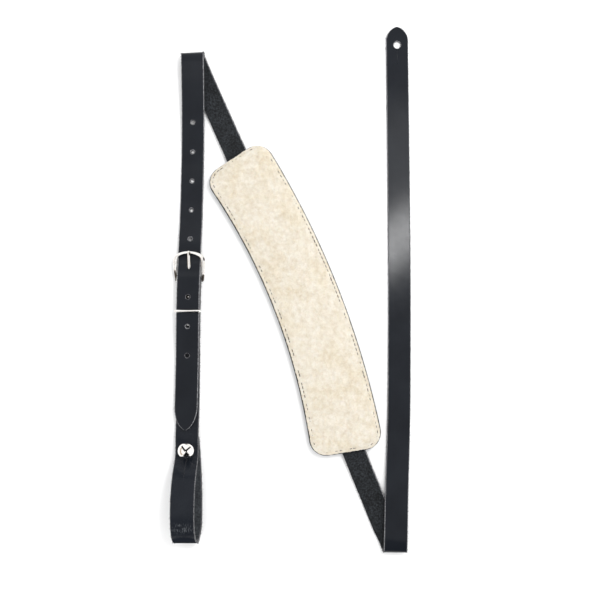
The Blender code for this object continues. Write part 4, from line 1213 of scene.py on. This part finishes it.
def make_tunnel(which, distance, leathers):
    """A leather strip across the strap, flat under it and raised at both ends to the backing."""
    low = TUNNEL_THICK / 2
    high = BACKING_LOW - 0.3 * MM - TUNNEL_THICK / 2
    half = (
        (10.4 * MM, low), (11.6 * MM, low + 0.4 * MM), (13.2 * MM, high - 0.5 * MM), (14.6 * MM, high),
        (TUNNEL_HALF_SPAN, high),
    )
    profile = [(-across, z) for across, z in reversed(half)] + list(half)
    bm = bmesh.new()
    verts = [bm.verts.new((across, -TUNNEL_LENGTH / 2, z)) for across, z in profile]
    edges = [bm.edges.new(pair) for pair in zip(verts, verts[1:])]
    made = bmesh.ops.extrude_edge_only(bm, edges=edges)["geom"]
    far_side = [item for item in made if isinstance(item, bmesh.types.BMVert)]
    bmesh.ops.translate(bm, verts=far_side, vec=(0, TUNNEL_LENGTH, 0))
    tunnel = mesh_object(f"pad_loop_{which}_leather", bm, leathers)
    solid = tunnel.modifiers.new("leather", "SOLIDIFY")
    solid.thickness = TUNNEL_THICK
    solid.offset = 0.0
    solid.use_even_offset = True
    solid.material_offset_rim = EDGE
    bevel = tunnel.modifiers.new("edges", "BEVEL")
    bevel.width = 0.25 * MM
    bevel.segments = 2
    bevel.limit_method = "ANGLE"
    bevel.angle_limit = math.radians(50)
    apply_modifiers(tunnel)
    centre = tunnel_centre(distance)
    tunnel.data.transform(Matrix.Translation((*centre, 0)) @ Matrix.Rotation(STRAP_HEADING, 4, "Z"))
    rivets = [spot for spot in tunnel_rivet_places() if (spot - centre).length < TUNNEL_HALF_SPAN]
    cut_bores(tunnel, leathers, *((Vector((*spot, high)), 1.5 * MM, 2.5 * MM) for spot in rivets))
    return stands_for(tunnel, "pad", "leather", f"pad_loop_{which}")


# Studio


def area_light(name, location, size, power, target, turn):
    """A rectangular light aimed at the target and turned about its own axis."""
    light = bpy.data.lights.new(name, "AREA")
    light.shape = "RECTANGLE"
    light.size, light.size_y = size
    light.energy = power
    obj = bpy.data.objects.new(name, light)
    obj.location = location
    aim = (Vector(target) - Vector(location)).to_track_quat("-Z", "Y")
    obj.rotation_euler = (aim.to_matrix() @ Matrix.Rotation(turn, 3, "Z")).to_euler()
    bpy.context.scene.collection.objects.link(obj)
    return obj


def make_studio():
    """Pale floor, soft light from the upper right, and the small lights of the leather's sheen."""
    bm = bmesh.new()
    bmesh.ops.create_grid(bm, x_segments=1, y_segments=1, size=4.0)
    floor = mesh_object("floor", bm, [paper_floor()])
    floor.location.z = -0.05 * MM
    world = bpy.data.worlds.new("soft_room")
    bpy.context.scene.world = world
    world.use_nodes = True
    background = world.node_tree.nodes["Background"]
    background.inputs["Color"].default_value = (1.0, 1.0, 1.0, 1.0)
    background.inputs["Strength"].default_value = ROOM_LIGHT
    # The key light makes the shadows and stays out of every reflection.
    key = area_light("key", (0.56, 0.30, 0.95), (0.60, 0.60), 2.0, (0, 0, 0), 0.0)
    key.visible_glossy = False
    for name, x, y, size, power, turn in SHEEN_LIGHTS:
        area_light(name, (x, y, SHEEN_HEIGHT), size, power, (x, y, 0), turn)
    make_camera_rig()
    make_side_wall()
    return floor


def light_only(receiving, *lights):
    """The lights named fall on these objects alone."""
    receivers = bpy.data.collections.new("sheen_receivers")
    for obj in receiving:
        receivers.objects.link(obj)
    for light in lights:
        bpy.data.objects[light].light_linking.receiver_collection = receivers


def make_side_wall():
    """Tan wall far to the left, seen only in what polished metal reflects."""
    tan = Shader("wall_tan", 0.9, specular=0.0)
    tan.set("Base Color", tan.ramp(tan.noise(3, 1), (0.50, 0.43, 0.36), (0.58, 0.50, 0.43)))
    bm = bmesh.new()
    feet = [heading(math.radians(bearing)) * WALL_REACH for bearing in range(140, 231, 10)]
    strip(bm, [[foot + Vector((0, 0, height)) for height in WALL_HEIGHTS] for foot in feet])
    show_in_reflections("side_wall", bm, tan.material)


def show_in_reflections(name, bm, material):
    """A studio piece that shows only in what polished metal reflects."""
    obj = mesh_object(name, bm, [material])
    for ray in ("camera", "diffuse", "transmission", "shadow", "volume_scatter"):
        setattr(obj, "visible_" + ray, False)


def strip(bm, edges):
    """A band of faces between each two-ended edge and the next."""
    rows = [[bm.verts.new(corner) for corner in edge] for edge in edges]
    for (a, b), (c, d) in zip(rows, rows[1:]):
        bm.faces.new((a, b, d, c))


def make_camera_rig():
    """Dark camera stand and the person behind it, seen only in what polished metal reflects."""
    dark = Shader("rig_black", 0.9, specular=0.0)
    dark.set("Base Color", dark.ramp(dark.noise(3, 1), (0.006, 0.006, 0.006), (0.01, 0.01, 0.01)))
    bm = bmesh.new()
    matrix = Matrix.Translation(RIG_HUB)
    bmesh.ops.create_circle(bm, cap_ends=True, segments=24, radius=0.07, matrix=matrix)
    rows = [(RIG_HUB.lerp(RIG_FOOT, share), half) for share, half in RIG_WEDGE]
    strip(bm, [[centre + Vector((x, 0, 0)) for x in (-half, half)] for centre, half in rows])
    bm.faces.new([bm.verts.new(corner) for corner in RIG_SKIRT])
    show_in_reflections("camera_rig", bm, dark.material)
    make_stud_flags(dark.material)


def make_stud_flags(dark):
    """Two curved strips over the stud's left and right shoulder, seen only in what it reflects."""
    centre = STUD + Vector((0, 0, STUD_BALL_HEIGHT))
    bm = bmesh.new()
    for bearing in FLAG_BEARINGS:
        outward = heading(bearing)
        side = outward.cross(Vector((0, 0, 1)))
        edges = []
        for k in range(9):
            slope = math.radians(2 + 82 * k / 8)
            point = centre + (outward * math.sin(slope) + Vector((0, 0, math.cos(slope)))) * FLAG_REACH
            half = FLAG_HALF_WIDTH * (1.15 - 0.5 * k / 8)
            edges.append([point + side * width for width in (-half, half)])
        strip(bm, edges)
    show_in_reflections("stud_flags", bm, dark)


def make_camera():
    """The camera above the strap, tilted a little."""
    camera = bpy.data.cameras.new("camera")
    camera.lens = CAMERA_LENS
    camera.sensor_width = 36.0
    obj = bpy.data.objects.new("camera", camera)
    back = Vector((0, -math.sin(CAMERA_TILT), math.cos(CAMERA_TILT)))
    obj.location = CAMERA_TARGET + back * CAMERA_DISTANCE
    obj.rotation_euler = (CAMERA_TILT, 0, 0)
    bpy.context.scene.collection.objects.link(obj)
    bpy.context.scene.camera = obj
    bpy.context.scene.view_settings.view_transform = "Standard"


def make_leathers():
    """Grain, flesh and edge leather of the main strap and the pad, and of the more worn loop strap,
    whose grain and flesh are painted lighter, with painted shade at its turn.
    """
    slit_middle = KEYHOLE - Vector((0, KEYHOLE_RADIUS + KEYHOLE_SLIT / 2, 0))
    tip_scuff = (slit_middle, (0.5 * MM, KEYHOLE_SLIT * 0.62, 3 * MM))
    grain = grain_leather("leather_grain", [tip_scuff], 0.14)
    edge = cut_edge_leather("leather_edge", 0.42)
    flesh = flesh_leather("leather_flesh", (0.0052, 0.0060, 0.0068), (0.046, 0.052, 0.060))
    slit_middle = STUD + Vector((0, -LOOP_SLIT * 0.55, 12 * MM))
    loop_scuff = (slit_middle, (0.55 * MM, LOOP_SLIT * 0.7, 28 * MM))
    crackle = (Vector((-89.5, -201.0, 26.5)) * MM, (13 * MM, 7.0 * MM, 9 * MM))
    # The loop's turn is left without polish so that it reads darker, as painted shade.
    turn = (Vector((-88.5, -215.0, 15.0)) * MM, (20 * MM, 11 * MM, 18 * MM))
    # The loop's grain is painted 1.5 times lighter, as painted light for the reflection that its rougher
    # grain loses.
    loop_grain = grain_leather("leather_grain_loop", [loop_scuff], 0.25, 1.5, crackle, turn)
    # The loop's flesh side is painted lighter than the strap's, as painted light against the shade inside the
    # loop.
    loop_flesh_lightened = flesh_leather("leather_flesh_loop", (0.028, 0.032, 0.037), (0.094, 0.103, 0.112))
    loop_edge = cut_edge_leather("leather_edge_loop", 0.30)
    return [grain, flesh, edge], [loop_grain, loop_flesh_lightened, loop_edge]


def main():
    """Builds the studio, the straps, the hardware and the pad."""
    make_camera()
    floor = make_studio()
    leathers, loop_leathers = make_leathers()
    # The buckle's painted dark reflections and painted shade.
    spots = [(HEEL + Vector(offset) * MM, tuple(r * MM for r in radii)) for offset, radii in PAINTED_REFLECTIONS_AND_SHADE]
    nickel = nickel_plate(spots)
    straps = [make_main_strap(leathers), make_loop_strap(loop_leathers)]
    make_edge_fibres(straps, leathers[FLESH], leathers[EDGE])
    make_buckle(nickel)
    make_tongue(nickel)
    make_keeper(nickel)
    rivets = make_rivets(nickel)
    light_only([straps[0], floor, *rivets], *(row[0] for row in SHEEN_LIGHTS))
    make_stud(nickel, screw_steel())
    wool = sheared_fleece()
    make_curls(make_fleece(wool), wool)
    make_backing(leathers)
    make_seam(seam_thread())
    for which, distance in TUNNELS.items():
        make_tunnel(which, distance, leathers)


main()
